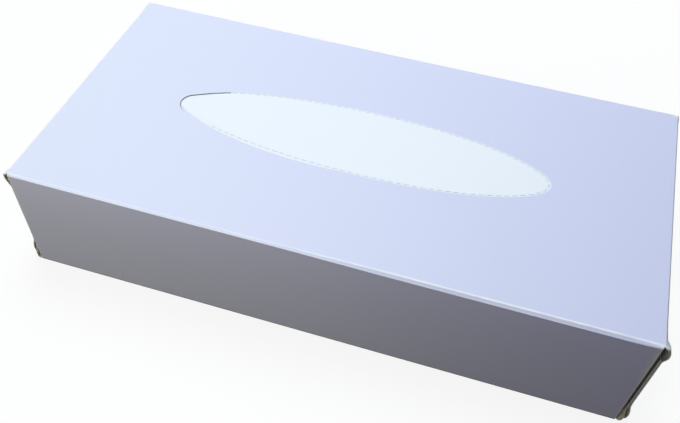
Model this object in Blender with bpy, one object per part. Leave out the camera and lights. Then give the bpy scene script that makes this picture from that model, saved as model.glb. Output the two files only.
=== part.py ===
"""Sealed flat carton of facial tissues, one folded and glued solid.

The origin lies under the middle of the bottom panel. +X runs along the length, -Y faces the
long front panel and +Z is up. Lengths are in metres.

The carton is a sleeve of four panels. The dust flaps close its ends, set back behind the end
folds of the top and bottom panels. The bottom end flaps fold up over the dust flaps and the
top end flaps fold down over those. They are glued in the middle only, so their side edges
spring away, their folds bulge at the corners and their free corners curl. The top panel
carries the perforated oval cover, with its open thumb cut round the left tip and a score that
lets the thumb tab bend in.
"""

import math

import bmesh
import bpy
from mathutils import Matrix, Vector

MM = 0.001

# Panels, measured over the outside
LENGTH = 225.0 * MM  # between the end folds of the top and bottom panels
WIDTH = 114.2 * MM  # front panel to back panel
HEIGHT = 45.2 * MM  # bottom panel to top panel
BOARD = 0.45 * MM  # thickness of the folding board
LONG_FOLD_INSIDE = 0.12 * MM  # inside radius of the long folds
DUST_FOLD_INSIDE = 0.05 * MM  # inside radius of the dust flap folds
END_FOLD_INSIDE = 0.25 * MM  # inside radius of the end folds
DUST_CLEARANCE = 0.1 * MM  # from the dust flaps to the start of the end folds
TOP_SAG = 0.35 * MM  # drop of the top panel's back fold at mid length
SEAM_GAP = 0.4 * MM  # from the bottom panel's back fold up to the raw edge of the back panel

# End flaps
FLAP_ROOT_INSET = 0.15 * MM  # side edge behind the panel face, at the fold
FLAP_SIDE_INSET = 1.9 * MM  # the same past the relief, where the flap has narrowed
FLAP_SKEW = 0.3 * MM  # sideways shift of each end's flaps, as glued
TOP_FLAP_RELIEF = 9.0 * MM  # length over which the top flap narrows
BOTTOM_FLAP_RELIEF = 10.0 * MM  # length over which the bottom flap narrows
BOTTOM_FLAP_STOP = 8.0 * MM  # free end of the bottom flap, below the top panel
TOP_FLAP_STOP = 1.6 * MM  # free end of the top flap, above the bottom panel
FOLD_SETTLE = 2.2 * MM  # length over which a flap goes most of the way from fold to seat

# How the glued ends lie
GLUE_LINE = 0.15 * MM  # thickness of each layer of glue
FREE_SIDE_WIDTH = 13.0 * MM  # strip along each side edge that is not held down
BEAD_MARGIN = 4.0 * MM  # from that free strip to the end of the glue bead
BEAD_HEIGHT = 9.0 * MM
LOOSE_LIFT = 1.3 * MM  # how far the side edges spring out at the loose corners
SNUG_LIFT = 0.95 * MM  # the same at the snug corners
BULGE_WIDTH = 5.2 * MM  # width of the folds' bulge at the corners
TOP_BULGE_LENGTH = 9.3 * MM  # from the top panel down to the end of the bulge
BOTTOM_BULGE_LENGTH = 5.5 * MM  # from the bottom panel up to the end of the bulge
BULGE_FALL = 3.8 * MM  # length over which the bulge runs out
LOOSE_BULGE = 0.95 * MM
SNUG_BULGE = 0.15 * MM
CURL_WIDTH = 9.0 * MM  # width of the curled free corners
CURL_START = 9.5 * MM  # start of the curl above the bottom panel
CURL_LENGTH = 7.5 * MM  # length over which the curl grows
LOOSE_CURL = 1.3 * MM
SNUG_CURL = 1.7 * MM

# Perforated cover in the top panel
COVER_HALF_LENGTH = 70.4 * MM
COVER_HALF_WIDTH = 17.0 * MM
COVER_OFFSET_X = -1.05 * MM
COVER_OFFSET_Y = 1.1 * MM
COVER_TIP_SHARE = 0.075  # how much the oval is drawn in towards its tips
COVER_LEAN_SHARE = 0.04  # how much fuller its right half is than its left half
CUT_WIDTH = 0.25 * MM
DASH_LENGTH = 1.9 * MM
NICK_LENGTH = 1.0 * MM  # uncut board between two dashes
THUMB_LENGTH = 15.8 * MM  # part of the cover freed by the thumb cut
THUMB_NOSE_RADIUS = 5.3 * MM
THUMB_NOSE_INSET = 5.15 * MM  # middle of the nose, in from the oval's left tip
THUMB_NOSE_SHIFT = -0.8 * MM  # middle of the nose, across from the oval's long axis
SCORE_WIDTH = 0.6 * MM
SCORE_DEPTH = 0.1 * MM
SCORE_END_GAP = 0.8 * MM  # from each end of the score to the thumb cut
CUT_OVERRUN = 1.0 * MM  # how far cutters reach past the faces they cut

# Resolution
LONG_FOLD_STEPS = 5
DUST_FOLD_STEPS = 3
FLAP_FOLD_STEPS = 3
OVAL_STEPS = 720
NOSE_STEPS = 16
THUMB_ARM_STEPS = 5

# Columns across an end flap and stations along the panels, as shares of the half extent
SIDE_COLUMN_SHARES = (0.75, 0.85, 0.9, 0.93, 0.955, 0.98, 1.0)
COLUMN_SHARES = (*(-share for share in reversed(SIDE_COLUMN_SHARES)), 0.0, *SIDE_COLUMN_SHARES)
STATION_SHARES = (-0.8, -0.6, -0.4, -0.2, 0.0, 0.2, 0.4, 0.6, 0.8)
# Rows down a flap, as shares of its length past the fold
TOP_ROW_SHARES = (
    0.02, 0.045, 0.07, 0.1, 0.13, 0.16, 0.19, 0.23, 0.5, 0.79, 0.83, 0.87, 0.91, 0.95, 1.0,
)
BOTTOM_ROW_SHARES = (0.02, 0.045, 0.07, 0.1, 0.13, 0.16, 0.22, 0.28, 0.6, 1.0)

# Colours, linear
PRINT_COLOUR = (0.55, 0.58, 0.80, 1.0)
RAW_COLOUR = (0.42, 0.38, 0.29, 1.0)
PRINT_ROUGHNESS = 0.42
RAW_ROUGHNESS = 0.85

HALF_LENGTH = LENGTH / 2
HALF_WIDTH = WIDTH / 2
LONG_FOLD_RADIUS = BOARD + LONG_FOLD_INSIDE
DUST_FOLD_RADIUS = BOARD + DUST_FOLD_INSIDE
END_FOLD_RADIUS = BOARD + END_FOLD_INSIDE
SLEEVE_END = HALF_LENGTH - END_FOLD_RADIUS - DUST_CLEARANCE
ROOT_HALF_WIDTH = HALF_WIDTH - LONG_FOLD_RADIUS - BOARD
SEAM_HEIGHT = LONG_FOLD_RADIUS + SEAM_GAP
FLAP_SIDE = HALF_WIDTH - FLAP_SIDE_INSET
GLUED_HALF_WIDTH = FLAP_SIDE - FREE_SIDE_WIDTH


def smooth(value):
    """Ease from 0 to 1 with level ends, holding both outside that range."""
    held = min(max(value, 0.0), 1.0)
    return held * held * (3.0 - 2.0 * held)


def top_drop(x, y):
    """How far the top panel hangs below its folded height at a place."""
    along = 1.0 - min(abs(x) / SLEEVE_END, 1.0) ** 2
    across = (1.0 + y / HALF_WIDTH) / 2.0
    return TOP_SAG * along * across


def arc(centre_y, centre_z, radius, start, end, steps):
    """Points of a quarter fold in the cross-section, from one angle in degrees to another."""
    points = []
    for step in range(steps + 1):
        angle = math.radians(start + (end - start) * step / steps)
        points.append((centre_y + radius * math.cos(angle), centre_z + radius * math.sin(angle)))
    return points


class Sleeve:
    """The four panels as a lofted cross-section whose ends keep a face for each end flap."""

    def __init__(self, mesh):
        """Lay out the cross-section and loft it from the left end to the right."""
        self.mesh = mesh
        self.point = mesh.verts.layers.int.new("point")
        self.points = []
        self.top_columns = [self.add_column(share, HEIGHT, -BOARD) for share in COLUMN_SHARES]
        self.bottom_columns = [self.add_column(share, 0.0, BOARD) for share in COLUMN_SHARES]
        self.back_side = [self.add(place) for place in self.back_outline()]
        self.front_side = [self.add(place) for place in self.front_outline()]
        self.ends = {}
        self.loft()

    def add(self, place):
        """Keep a cross-section point and return its number."""
        self.points.append(place)
        return len(self.points) - 1

    def add_column(self, share, outer_z, inward):
        """Add the outer and inner point of a panel at one column."""
        y = share * ROOT_HALF_WIDTH
        return self.add((y, outer_z)), self.add((y, outer_z + inward))

    def back_outline(self):
        """Down the back past the lapped seam, between the flats of the top and bottom panels."""
        radius = LONG_FOLD_RADIUS
        upper = arc(HALF_WIDTH - radius, HEIGHT - radius, radius, 90, 0, LONG_FOLD_STEPS)
        lap = [(HALF_WIDTH, SEAM_HEIGHT), (HALF_WIDTH - BOARD, SEAM_HEIGHT)]
        lower = arc(HALF_WIDTH - BOARD - radius, radius, radius, 0, -90, LONG_FOLD_STEPS)
        return upper[1:] + lap + lower[:-1]

    def front_outline(self):
        """Up the front, between the flats of the bottom and top panels."""
        radius = LONG_FOLD_RADIUS
        lower = arc(radius - HALF_WIDTH, radius, radius, -90, -180, LONG_FOLD_STEPS)
        upper = arc(radius - HALF_WIDTH, HEIGHT - radius, radius, 180, 90, LONG_FOLD_STEPS)
        return lower[1:] + upper[:-1]

    def place(self, number, x, narrowing):
        """Place a cross-section point at a station, drawn in by the fold at the sleeve's end."""
        y, z = self.points[number]
        side_share = max(0.0, abs(y) - ROOT_HALF_WIDTH) / (HALF_WIDTH - ROOT_HALF_WIDTH)
        y -= math.copysign(side_share * narrowing, y)
        return Vector((x, y, z - top_drop(x, y) * z / HEIGHT))

    def stations(self):
        """Places along the length, each with the narrowing of the dust flap folds."""
        ends = []
        for step in range(DUST_FOLD_STEPS + 1):
            angle = math.radians(90.0 * step / DUST_FOLD_STEPS)
            x = SLEEVE_END - DUST_FOLD_RADIUS * (1.0 - math.sin(angle))
            ends.append((x, DUST_FOLD_RADIUS * (1.0 - math.cos(angle))))
        left = [(-x, narrowing) for x, narrowing in reversed(ends)]
        middle = [(share * SLEEVE_END, 0.0) for share in STATION_SHARES]
        return left + middle + ends

    def start_faces(self, x, narrowing):
        """Make the left end: a strip for each end flap and the dust flaps between them."""
        verts = []
        for number in range(len(self.points)):
            vert = self.mesh.verts.new(self.place(number, x, narrowing))
            vert[self.point] = number
            verts.append(vert)
        strips = {}
        for name, columns in (("top", self.top_columns), ("bottom", self.bottom_columns)):
            strips[name] = [
                self.mesh.faces.new([verts[a] for a in (near[0], far[0], far[1], near[1])])
                for near, far in zip(columns, columns[1:])
            ]
        top_inner = [column[1] for column in self.top_columns]
        bottom_inner = [column[1] for column in reversed(self.bottom_columns)]
        ring = top_inner + [self.top_columns[-1][0]] + self.back_side
        ring += [self.bottom_columns[-1][0]] + bottom_inner + [self.bottom_columns[0][0]]
        ring += self.front_side + [self.top_columns[0][0]]
        strips["dust"] = [self.mesh.faces.new([verts[number] for number in ring])]
        return strips

    def extrude(self, faces, place):
        """Extrude faces and put each new corner where its number belongs."""
        edges = dict.fromkeys(edge for face in faces for edge in face.edges)
        made = bmesh.ops.extrude_face_region(self.mesh, geom=[*faces, *edges])["geom"]
        for item in made:
            if isinstance(item, bmesh.types.BMVert):
                item.co = place(item[self.point])
        return [item for item in made if isinstance(item, bmesh.types.BMFace)]

    def loft(self):
        """Extrude the left end along the length and keep the flap strips of both ends."""
        (first_x, first_narrowing), *rest = self.stations()
        start = self.start_faces(first_x, first_narrowing)
        faces = [face for group in start.values() for face in group]
        for x, narrowing in rest:
            faces = self.extrude(faces, lambda number: self.place(number, x, narrowing))
        self.ends["left"] = {name: start[name] for name in ("top", "bottom")}
        self.ends["right"] = {
            "top": self.faces_between(faces, self.top_columns),
            "bottom": self.faces_between(faces, self.bottom_columns),
        }

    def faces_between(self, faces, columns):
        """Pick the faces whose corners all belong to the given columns."""
        numbers = {number for column in columns for number in column}
        return [face for face in faces if all(v[self.point] in numbers for v in face.verts)]


class EndFlap:
    """One end flap at the right end; the left end has the same flap turned half round."""

    def __init__(self, name):
        """Take the sizes of the top or the bottom flap."""
        self.is_top = name == "top"
        self.length = HEIGHT - (TOP_FLAP_STOP if self.is_top else BOTTOM_FLAP_STOP)
        self.relief = TOP_FLAP_RELIEF if self.is_top else BOTTOM_FLAP_RELIEF
        self.bulge_length = TOP_BULGE_LENGTH if self.is_top else BOTTOM_BULGE_LENGTH
        self.row_shares = TOP_ROW_SHARES if self.is_top else BOTTOM_ROW_SHARES
        self.fold_x = HALF_LENGTH - BOARD / 2

    def height(self, reach):
        """Height above the bottom panel at a distance from the flap's fold."""
        return HEIGHT - reach if self.is_top else reach

    def side(self, share, reach):
        """Width-wise place of a column at a distance from the fold."""
        opened = smooth(reach / END_FOLD_RADIUS)
        narrowed = smooth(reach / self.relief)
        fold_half = ROOT_HALF_WIDTH + opened * (HALF_WIDTH - FLAP_ROOT_INSET - ROOT_HALF_WIDTH)
        half = fold_half - narrowed * (FLAP_SIDE_INSET - FLAP_ROOT_INSET)
        return share * half - narrowed * FLAP_SKEW

    def seat(self, reach):
        """Place of the board's middle where it is glued; the top flap lies on the bottom one."""
        lower_seat = SLEEVE_END + GLUE_LINE + BOARD / 2
        if not self.is_top:
            return lower_seat
        rise = math.exp(-self.height(reach) / FOLD_SETTLE)
        return lower_seat + (self.fold_x - lower_seat) * rise + BOARD + GLUE_LINE

    def spring(self, y, reach):
        """How far the flap stands off its seat, from its free sides and its curled corners."""
        lift = LOOSE_LIFT if y < 0.0 else SNUG_LIFT
        free = smooth((abs(y) - GLUED_HALF_WIDTH) / FREE_SIDE_WIDTH)
        if not self.is_top:
            return lift * free**2
        curl = LOOSE_CURL if y < 0.0 else SNUG_CURL
        corner = smooth((abs(y) - FLAP_SIDE + CURL_WIDTH) / CURL_WIDTH)
        low = smooth((CURL_START - self.height(reach)) / CURL_LENGTH)
        return lift * free**2 + curl * corner * low

    def bulge(self, y, reach):
        """How far the crushed corner of the fold pushes the board outward."""
        height = LOOSE_BULGE if y < 0.0 else SNUG_BULGE
        corner = smooth((abs(y) - FLAP_SIDE + BULGE_WIDTH) / BULGE_WIDTH)
        return height * corner * smooth((self.bulge_length - reach) / BULGE_FALL)

    def centre_line(self, share):
        """Middle of the board down one column, from the sleeve's end to the free edge."""
        radius = END_FOLD_RADIUS - BOARD / 2
        places = [(SLEEVE_END, BOARD / 2)]
        for step in range(FLAP_FOLD_STEPS + 1):
            angle = math.radians(90.0 * step / FLAP_FOLD_STEPS)
            x = self.fold_x - radius * (1.0 - math.sin(angle))
            places.append((x, BOARD / 2 + radius * (1.0 - math.cos(angle))))
        start = places[-1][1]
        places += [(self.fold_x, start + row * (self.length - start)) for row in self.row_shares]
        line = []
        for x, reach in places:
            y = self.side(share, reach - BOARD / 2)
            away = 1.0 - math.exp(-(reach - BOARD / 2) / FOLD_SETTLE)
            x += away * (self.seat(reach) - self.fold_x + self.spring(y, reach))
            x += self.bulge(y, reach)
            line.append(Vector((x, y, self.height(reach))))
        return line

    def rows(self, share):
        """Outer and inner face of the board at each row after the sleeve's end."""
        line = self.centre_line(share)
        outward = 1.0 if self.is_top else -1.0
        places = []
        for before, here, after in zip(line, line[1:], line[2:] + [line[-1]]):
            run = after - before
            across = Vector((-run.z, 0.0, run.x)).normalized() * outward * BOARD / 2
            places.append((here + across, here - across))
        return places


def add_end_flaps(sleeve):
    """Extrude the two end flaps from the strips of each end."""
    half_turn = Matrix.Rotation(math.pi, 4, "Z")
    for name, columns in (("top", sleeve.top_columns), ("bottom", sleeve.bottom_columns)):
        flap = EndFlap(name)
        for end in ("right", "left"):
            turned = end == "left"
            grid = {}
            for share, (outer, inner) in zip(COLUMN_SHARES, columns):
                rows = flap.rows(-share if turned else share)
                grid[outer] = [half_turn @ row[0] if turned else row[0] for row in rows]
                grid[inner] = [half_turn @ row[1] if turned else row[1] for row in rows]
            faces = sleeve.ends[end][name]
            for row in range(len(rows)):
                faces = sleeve.extrude(faces, lambda number: grid[number][row])


def oval_point(angle):
    """A point of the cover's outline, an oval drawn in towards its tips."""
    along = math.cos(angle)
    taper = 1.0 - COVER_TIP_SHARE * along**4 + COVER_LEAN_SHARE * along
    x = COVER_OFFSET_X + COVER_HALF_LENGTH * along
    y = COVER_OFFSET_Y + COVER_HALF_WIDTH * math.sin(angle) * taper
    return Vector((x, y, HEIGHT - top_drop(x, y)))


def tab_angle():
    """Half of the angle, about the left tip, that the thumb cut covers."""
    return math.acos(1.0 - THUMB_LENGTH / COVER_HALF_LENGTH)


def add_dashes(mesh):
    """Add a cutter for each perforation, spaced evenly between the ends of the thumb cut."""
    reach = math.pi - tab_angle()
    angles = [-reach + 2.0 * reach * step / OVAL_STEPS for step in range(OVAL_STEPS + 1)]
    path = [oval_point(angle) for angle in angles]
    travelled = [0.0]
    for before, after in zip(path, path[1:]):
        travelled.append(travelled[-1] + (after - before).length)
    count = max(1, math.floor(travelled[-1] / (DASH_LENGTH + NICK_LENGTH)))
    spacing = travelled[-1] / count
    step = 0
    for number in range(count):
        target = (number + 0.5) * spacing
        while travelled[step + 1] < target:
            step += 1
        run = path[step + 1] - path[step]
        share = (target - travelled[step]) / (travelled[step + 1] - travelled[step])
        middle = path[step] + run * share
        height = BOARD + CUT_OVERRUN
        place = Matrix.Translation(middle + Vector((0.0, 0.0, height / 2 - BOARD)))
        turn = Matrix.Rotation(math.atan2(run.y, run.x), 4, "Z")
        size = Matrix.Diagonal((DASH_LENGTH, CUT_WIDTH, height, 1.0))
        bmesh.ops.create_cube(mesh, size=1.0, matrix=place @ turn @ size)


def nose_tangent(nose, end, turn):
    """Angle about the nose at which the straight from a cut's end meets it."""
    run = end - nose
    run.z = 0.0
    return math.atan2(run.y, run.x) + turn * math.acos(THUMB_NOSE_RADIUS / run.length)


def thumb_path():
    """The thumb cut from its back end along a straight, round the nose and back to its front end."""
    back = oval_point(math.pi - tab_angle())
    front = oval_point(math.pi + tab_angle())
    nose_x = COVER_OFFSET_X - COVER_HALF_LENGTH + THUMB_NOSE_INSET
    nose_y = COVER_OFFSET_Y + THUMB_NOSE_SHIFT
    nose = Vector((nose_x, nose_y, HEIGHT - top_drop(nose_x, nose_y)))
    start = nose_tangent(nose, back, 1)
    stop = 2 * math.pi + nose_tangent(nose, front, -1)
    round_part = []
    for step in range(NOSE_STEPS + 1):
        angle = start + (stop - start) * step / NOSE_STEPS
        place = nose + THUMB_NOSE_RADIUS * Vector((math.cos(angle), math.sin(angle), 0.0))
        place.z = HEIGHT - top_drop(place.x, place.y)
        round_part.append(place)
    steps = [step / THUMB_ARM_STEPS for step in range(THUMB_ARM_STEPS)]
    first_arm = [back.lerp(round_part[0], share) for share in steps]
    last_arm = [front.lerp(round_part[-1], share) for share in reversed(steps)]
    return first_arm + round_part + last_arm


def add_thumb_cut(mesh):
    """Add the cutter of the open cut round the cover's left tip."""
    path = thumb_path()
    pairs = []
    for before, here, after in zip(path[:1] + path, path, path[1:] + path[-1:]):
        run = after - before
        across = Vector((-run.y, run.x, 0.0)).normalized() * CUT_WIDTH / 2
        low = here - Vector((0.0, 0.0, BOARD))
        pairs.append((mesh.verts.new(low + across), mesh.verts.new(low - across)))
    faces = [mesh.faces.new((a[0], b[0], b[1], a[1])) for a, b in zip(pairs, pairs[1:])]
    made = bmesh.ops.extrude_face_region(mesh, geom=faces)["geom"]
    raised = [item for item in made if isinstance(item, bmesh.types.BMVert)]
    bmesh.ops.translate(mesh, verts=raised, vec=(0.0, 0.0, BOARD + CUT_OVERRUN))


def add_score(mesh):
    """Add the cutter of the V-shaped score between the ends of the thumb cut."""
    end_gap = Vector((0.0, SCORE_END_GAP, 0.0))
    near = oval_point(math.pi + tab_angle()) + end_gap
    far = oval_point(math.pi - tab_angle()) - end_gap
    slope = (SCORE_DEPTH + CUT_OVERRUN) / SCORE_DEPTH
    half_top = slope * SCORE_WIDTH / 2
    corners = ((0.0, -SCORE_DEPTH), (half_top, CUT_OVERRUN), (-half_top, CUT_OVERRUN))
    start = [mesh.verts.new(near + Vector((x, 0.0, z))) for x, z in corners]
    made = bmesh.ops.extrude_face_region(mesh, geom=[mesh.faces.new(start)])["geom"]
    moved = [item for item in made if isinstance(item, bmesh.types.BMVert)]
    bmesh.ops.translate(mesh, verts=moved, vec=far - near)


def glue_beads():
    """A bead of glue across each end, from inside a dust flap to inside the top flap."""
    mesh = bmesh.new()
    inner = SLEEVE_END - BOARD / 2
    outer = SLEEVE_END + GLUE_LINE + BOARD + GLUE_LINE + BOARD / 2
    width = 2 * (GLUED_HALF_WIDTH - BEAD_MARGIN)
    for end in (-1, 1):
        centre = Vector((end * (inner + outer) / 2, 0.0, HEIGHT / 2))
        size = Matrix.Diagonal((outer - inner, width, BEAD_HEIGHT, 1.0))
        bmesh.ops.create_cube(mesh, size=1.0, matrix=Matrix.Translation(centre) @ size)
    return finish_mesh("glue_beads", mesh)


def cover_cutter(name, fill):
    """Collect one kind of cut in the cover as a cutter mesh."""
    mesh = bmesh.new()
    fill(mesh)
    return finish_mesh(name, mesh)


def finish_mesh(name, mesh):
    """Turn the faces outward, write the mesh and free the working copy."""
    bmesh.ops.recalc_face_normals(mesh, faces=mesh.faces)
    data = bpy.data.meshes.new(name)
    mesh.to_mesh(data)
    mesh.free()
    return data


def board_material(name, colour, roughness):
    """A plain board surface."""
    material = bpy.data.materials.new(name)
    material.use_nodes = True
    shader = material.node_tree.nodes["Principled BSDF"]
    shader.inputs["Base Color"].default_value = colour
    shader.inputs["Roughness"].default_value = roughness
    shader.inputs["Metallic"].default_value = 0.0
    return material


def add_helper(name, data, material):
    """Link a guide object that only takes part in a Boolean."""
    helper = bpy.data.objects.new(name, data)
    data.materials.append(material)
    helper.hide_render = True
    helper.display_type = "WIRE"
    bpy.context.scene.collection.objects.link(helper)
    return helper


def add_boolean(target, helper, operation):
    """Join or cut the carton with a guide object."""
    modifier = target.modifiers.new(helper.name, "BOOLEAN")
    modifier.operation = operation
    modifier.solver = "EXACT"
    modifier.object = helper


def build():
    """Build the carton as one named object."""
    for item in list(bpy.data.objects):
        bpy.data.objects.remove(item, do_unlink=True)
    printed = board_material("printed_board", PRINT_COLOUR, PRINT_ROUGHNESS)
    raw = board_material("raw_board", RAW_COLOUR, RAW_ROUGHNESS)

    mesh = bmesh.new()
    add_end_flaps(Sleeve(mesh))
    data = finish_mesh("carton", mesh)
    data.materials.append(printed)
    data.materials.append(raw)
    carton = bpy.data.objects.new("carton", data)
    bpy.context.scene.collection.objects.link(carton)

    add_boolean(carton, add_helper("glue_guide", glue_beads(), raw), "UNION")
    for name, fill in (("dash", add_dashes), ("thumb", add_thumb_cut), ("score", add_score)):
        data = cover_cutter(name + "_cuts", fill)
        add_boolean(carton, add_helper(name + "_cutter", data, raw), "DIFFERENCE")


build()
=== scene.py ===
"""Sealed flat carton of facial tissues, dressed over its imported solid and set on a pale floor.

The carton is one folded and glued blank. It starts as a block, whose long edges become
creased folds and whose ends grow the glued end flaps. The top panel is cut for the
perforated oval cover, its open thumb cut and the score that lets the thumb tab bend in.
Lengths are in metres, +X runs along the carton, -Y faces the long front panel, +Z is up.
"""

import logging
import math
from dataclasses import dataclass, field
from enum import Enum
from typing import Callable, Iterable

import bmesh
import bpy
from mathutils import Matrix, Vector


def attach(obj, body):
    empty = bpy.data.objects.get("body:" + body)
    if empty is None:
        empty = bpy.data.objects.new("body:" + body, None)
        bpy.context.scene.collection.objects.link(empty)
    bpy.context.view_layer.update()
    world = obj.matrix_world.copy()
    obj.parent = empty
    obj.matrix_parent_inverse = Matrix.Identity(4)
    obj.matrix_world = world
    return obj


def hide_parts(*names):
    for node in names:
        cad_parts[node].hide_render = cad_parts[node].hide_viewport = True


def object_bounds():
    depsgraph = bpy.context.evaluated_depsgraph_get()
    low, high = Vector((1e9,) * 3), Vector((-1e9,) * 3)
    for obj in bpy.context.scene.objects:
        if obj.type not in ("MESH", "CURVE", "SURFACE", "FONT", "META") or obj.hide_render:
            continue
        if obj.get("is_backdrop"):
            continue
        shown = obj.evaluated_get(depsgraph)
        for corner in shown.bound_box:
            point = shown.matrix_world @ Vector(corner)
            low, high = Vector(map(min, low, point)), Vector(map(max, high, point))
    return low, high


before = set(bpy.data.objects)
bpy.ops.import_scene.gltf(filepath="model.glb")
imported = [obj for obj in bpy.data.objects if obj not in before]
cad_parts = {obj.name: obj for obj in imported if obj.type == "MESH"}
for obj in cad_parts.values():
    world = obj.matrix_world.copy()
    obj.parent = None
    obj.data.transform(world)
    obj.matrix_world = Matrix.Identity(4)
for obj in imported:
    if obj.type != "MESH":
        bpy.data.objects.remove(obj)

LOG = logging.getLogger("carton")
MM = 0.001
NODE = "carton"
BODY = "root"
EPSILON = 1e-7  # metres within which places count as the same
SHARE_EPSILON = 1e-3  # the same for shares of a width
ALIGNED = 0.9  # least part of a unit direction that counts as lying along an axis

Pair = tuple[float, float]
Triple = tuple[float, float, float]
Colour = Triple
Test = Callable[[Vector, Vector], bool]


class End(Enum):
    """The two short ends of the carton."""

    RIGHT = 1
    LEFT = -1


class Layer(Enum):
    """The end flap that folds down from the top panel and the one that folds up."""

    TOP = 1
    BOTTOM = 2


class Surface(Enum):
    """Finishes of the board, in the order of the piece's material slots."""

    PRINT = 0
    EDGE = 1
    BACK = 2


def smooth(value: float) -> float:
    """Ease from 0 to 1 with level ends, holding both outside that range."""
    held = min(max(value, 0.0), 1.0)
    return held * held * (3.0 - 2.0 * held)


def bell(value: float, middle: float, spread: float) -> float:
    """Height of a bell curve of height 1 at a place."""
    return math.exp(-(((value - middle) / spread) ** 2))


def between(ends: Pair, share: float) -> float:
    """Value at a share of the way from the first end to the second."""
    return ends[0] + (ends[1] - ends[0]) * share


def evenly(ends: Pair, step: float) -> list[float]:
    """Places from the first end to the second, about a step apart."""
    count = round((ends[1] - ends[0]) / step)
    return [ends[0] + (ends[1] - ends[0]) * number / count for number in range(count + 1)]


def both_ways(places: Iterable[float]) -> set[float]:
    """Places and their mirror images about the middle."""
    return {sign * place for place in places for sign in (1.0, -1.0)}


def distances(path: list[Vector]) -> list[float]:
    """Distance along a path from its start to each of its points.

    Args:
        path: The points in order.

    Returns:
        A distance for each point, 0 for the first.
    """
    travelled = [0.0]
    for before, after in zip(path, path[1:]):
        travelled.append(travelled[-1] + (after - before).length)
    return travelled


def activate(piece: bpy.types.Object, *others: bpy.types.Object) -> None:
    """Select a piece, with others if there are any, and make it the active one.

    Args:
        piece: The piece that becomes active.
        others: Pieces that are selected with it.
    """
    bpy.ops.object.select_all(action="DESELECT")
    for chosen in (piece, *others):
        chosen.select_set(True)
    bpy.context.view_layer.objects.active = piece


@dataclass(frozen=True)
class CartonSizes:
    """Sizes of the folded board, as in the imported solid, and the fine form of its creases."""

    length: float = 225.0 * MM
    width: float = 114.2 * MM
    height: float = 45.2 * MM
    board: float = 0.45 * MM
    long_fold: float = 0.57 * MM
    dust_fold: float = 0.5 * MM
    end_fold: float = 0.7 * MM
    dust_clearance: float = 0.1 * MM
    top_sag: float = 0.35 * MM
    seam_gap: float = 0.4 * MM
    crease_rise: float = 0.045 * MM  # height of the creases' shoulders above the panels
    shoulder_spread: float = 0.3 * MM
    shoulder_step: float = 0.28 * MM  # from the leaning strip in to the crease's shoulder
    lean_widths: Pair = (0.72 * MM, 1.08 * MM)  # at the left and at the right
    lean_slopes: Pair = (0.30, 0.61)  # at the left and at the right
    lean_change: Pair = (-25.0 * MM, 35.0 * MM)  # where the left form turns right
    lean_softness: float = 0.08 * MM
    front_radius: float = 0.12 * MM  # of the edge where the leaning strip turns down
    lean_fade: float = 8.0 * MM  # length over which the creases' form fades in from each end
    groove_inset: float = 0.66 * MM  # of the back crease's groove, from the back panel
    groove_spread: float = 0.2 * MM
    groove_depth: float = 0.07 * MM

    @property
    def half_width(self) -> float:
        """From the middle to the front or back panel."""
        return self.width / 2

    @property
    def sleeve_end(self) -> float:
        """From the middle to the outer face of the dust flaps."""
        return self.length / 2 - self.end_fold - self.dust_clearance

    @property
    def root_half_width(self) -> float:
        """Half of the flap's width where it leaves the panel."""
        return self.half_width - self.long_fold - self.board

    @property
    def seam_height(self) -> float:
        """Height of the back panel's raw edge above the bottom panel."""
        return self.long_fold + self.seam_gap

    def top_drop(self, x: float, y: float) -> float:
        """How far the top panel hangs below its folded height.

        Args:
            x: Place along the carton.
            y: Place across it.

        Returns:
            The drop, largest at the back fold halfway along.
        """
        along = 1.0 - min(abs(x) / self.sleeve_end, 1.0) ** 2
        across = (1.0 + y / self.half_width) / 2.0
        return self.top_sag * along * across

    def crease_drop(self, x: float, y: float) -> float:
        """How far a panel lies below its creases' shoulders, deeper in the creases' grooves.

        Args:
            x: Place along the carton.
            y: Place across it.

        Returns:
            The drop.
        """
        inset = self.half_width - abs(y)
        width = self.lean_width(x)
        shoulder = bell(inset, width + self.shoulder_step, self.shoulder_spread)
        drop = self.crease_rise * (1.0 - shoulder)
        if y < 0.0:
            over = (width - inset) / self.lean_softness
            drop += self.lean_slope(x) * self.lean_softness * math.log1p(math.exp(over))
        else:
            drop += self.groove_depth * bell(inset, self.groove_inset, self.groove_spread)
        return self.end_fade(x) * drop

    def lean_share(self, x: float) -> float:
        """How far the leaning strip has changed from its left to its right form."""
        start, stop = self.lean_change
        return smooth((x - start) / (stop - start))

    def lean_slope(self, x: float) -> float:
        """Slope of the strip beside the front fold at a place along the carton."""
        return between(self.lean_slopes, self.lean_share(x))

    def lean_width(self, x: float) -> float:
        """Width of the strip of the top panel that leans down to the front fold."""
        return between(self.lean_widths, self.lean_share(x))

    def end_fade(self, x: float) -> float:
        """Weight of the creases' form at a place along the carton, none at its ends."""
        return smooth((self.sleeve_end - abs(x)) / self.lean_fade)


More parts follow.
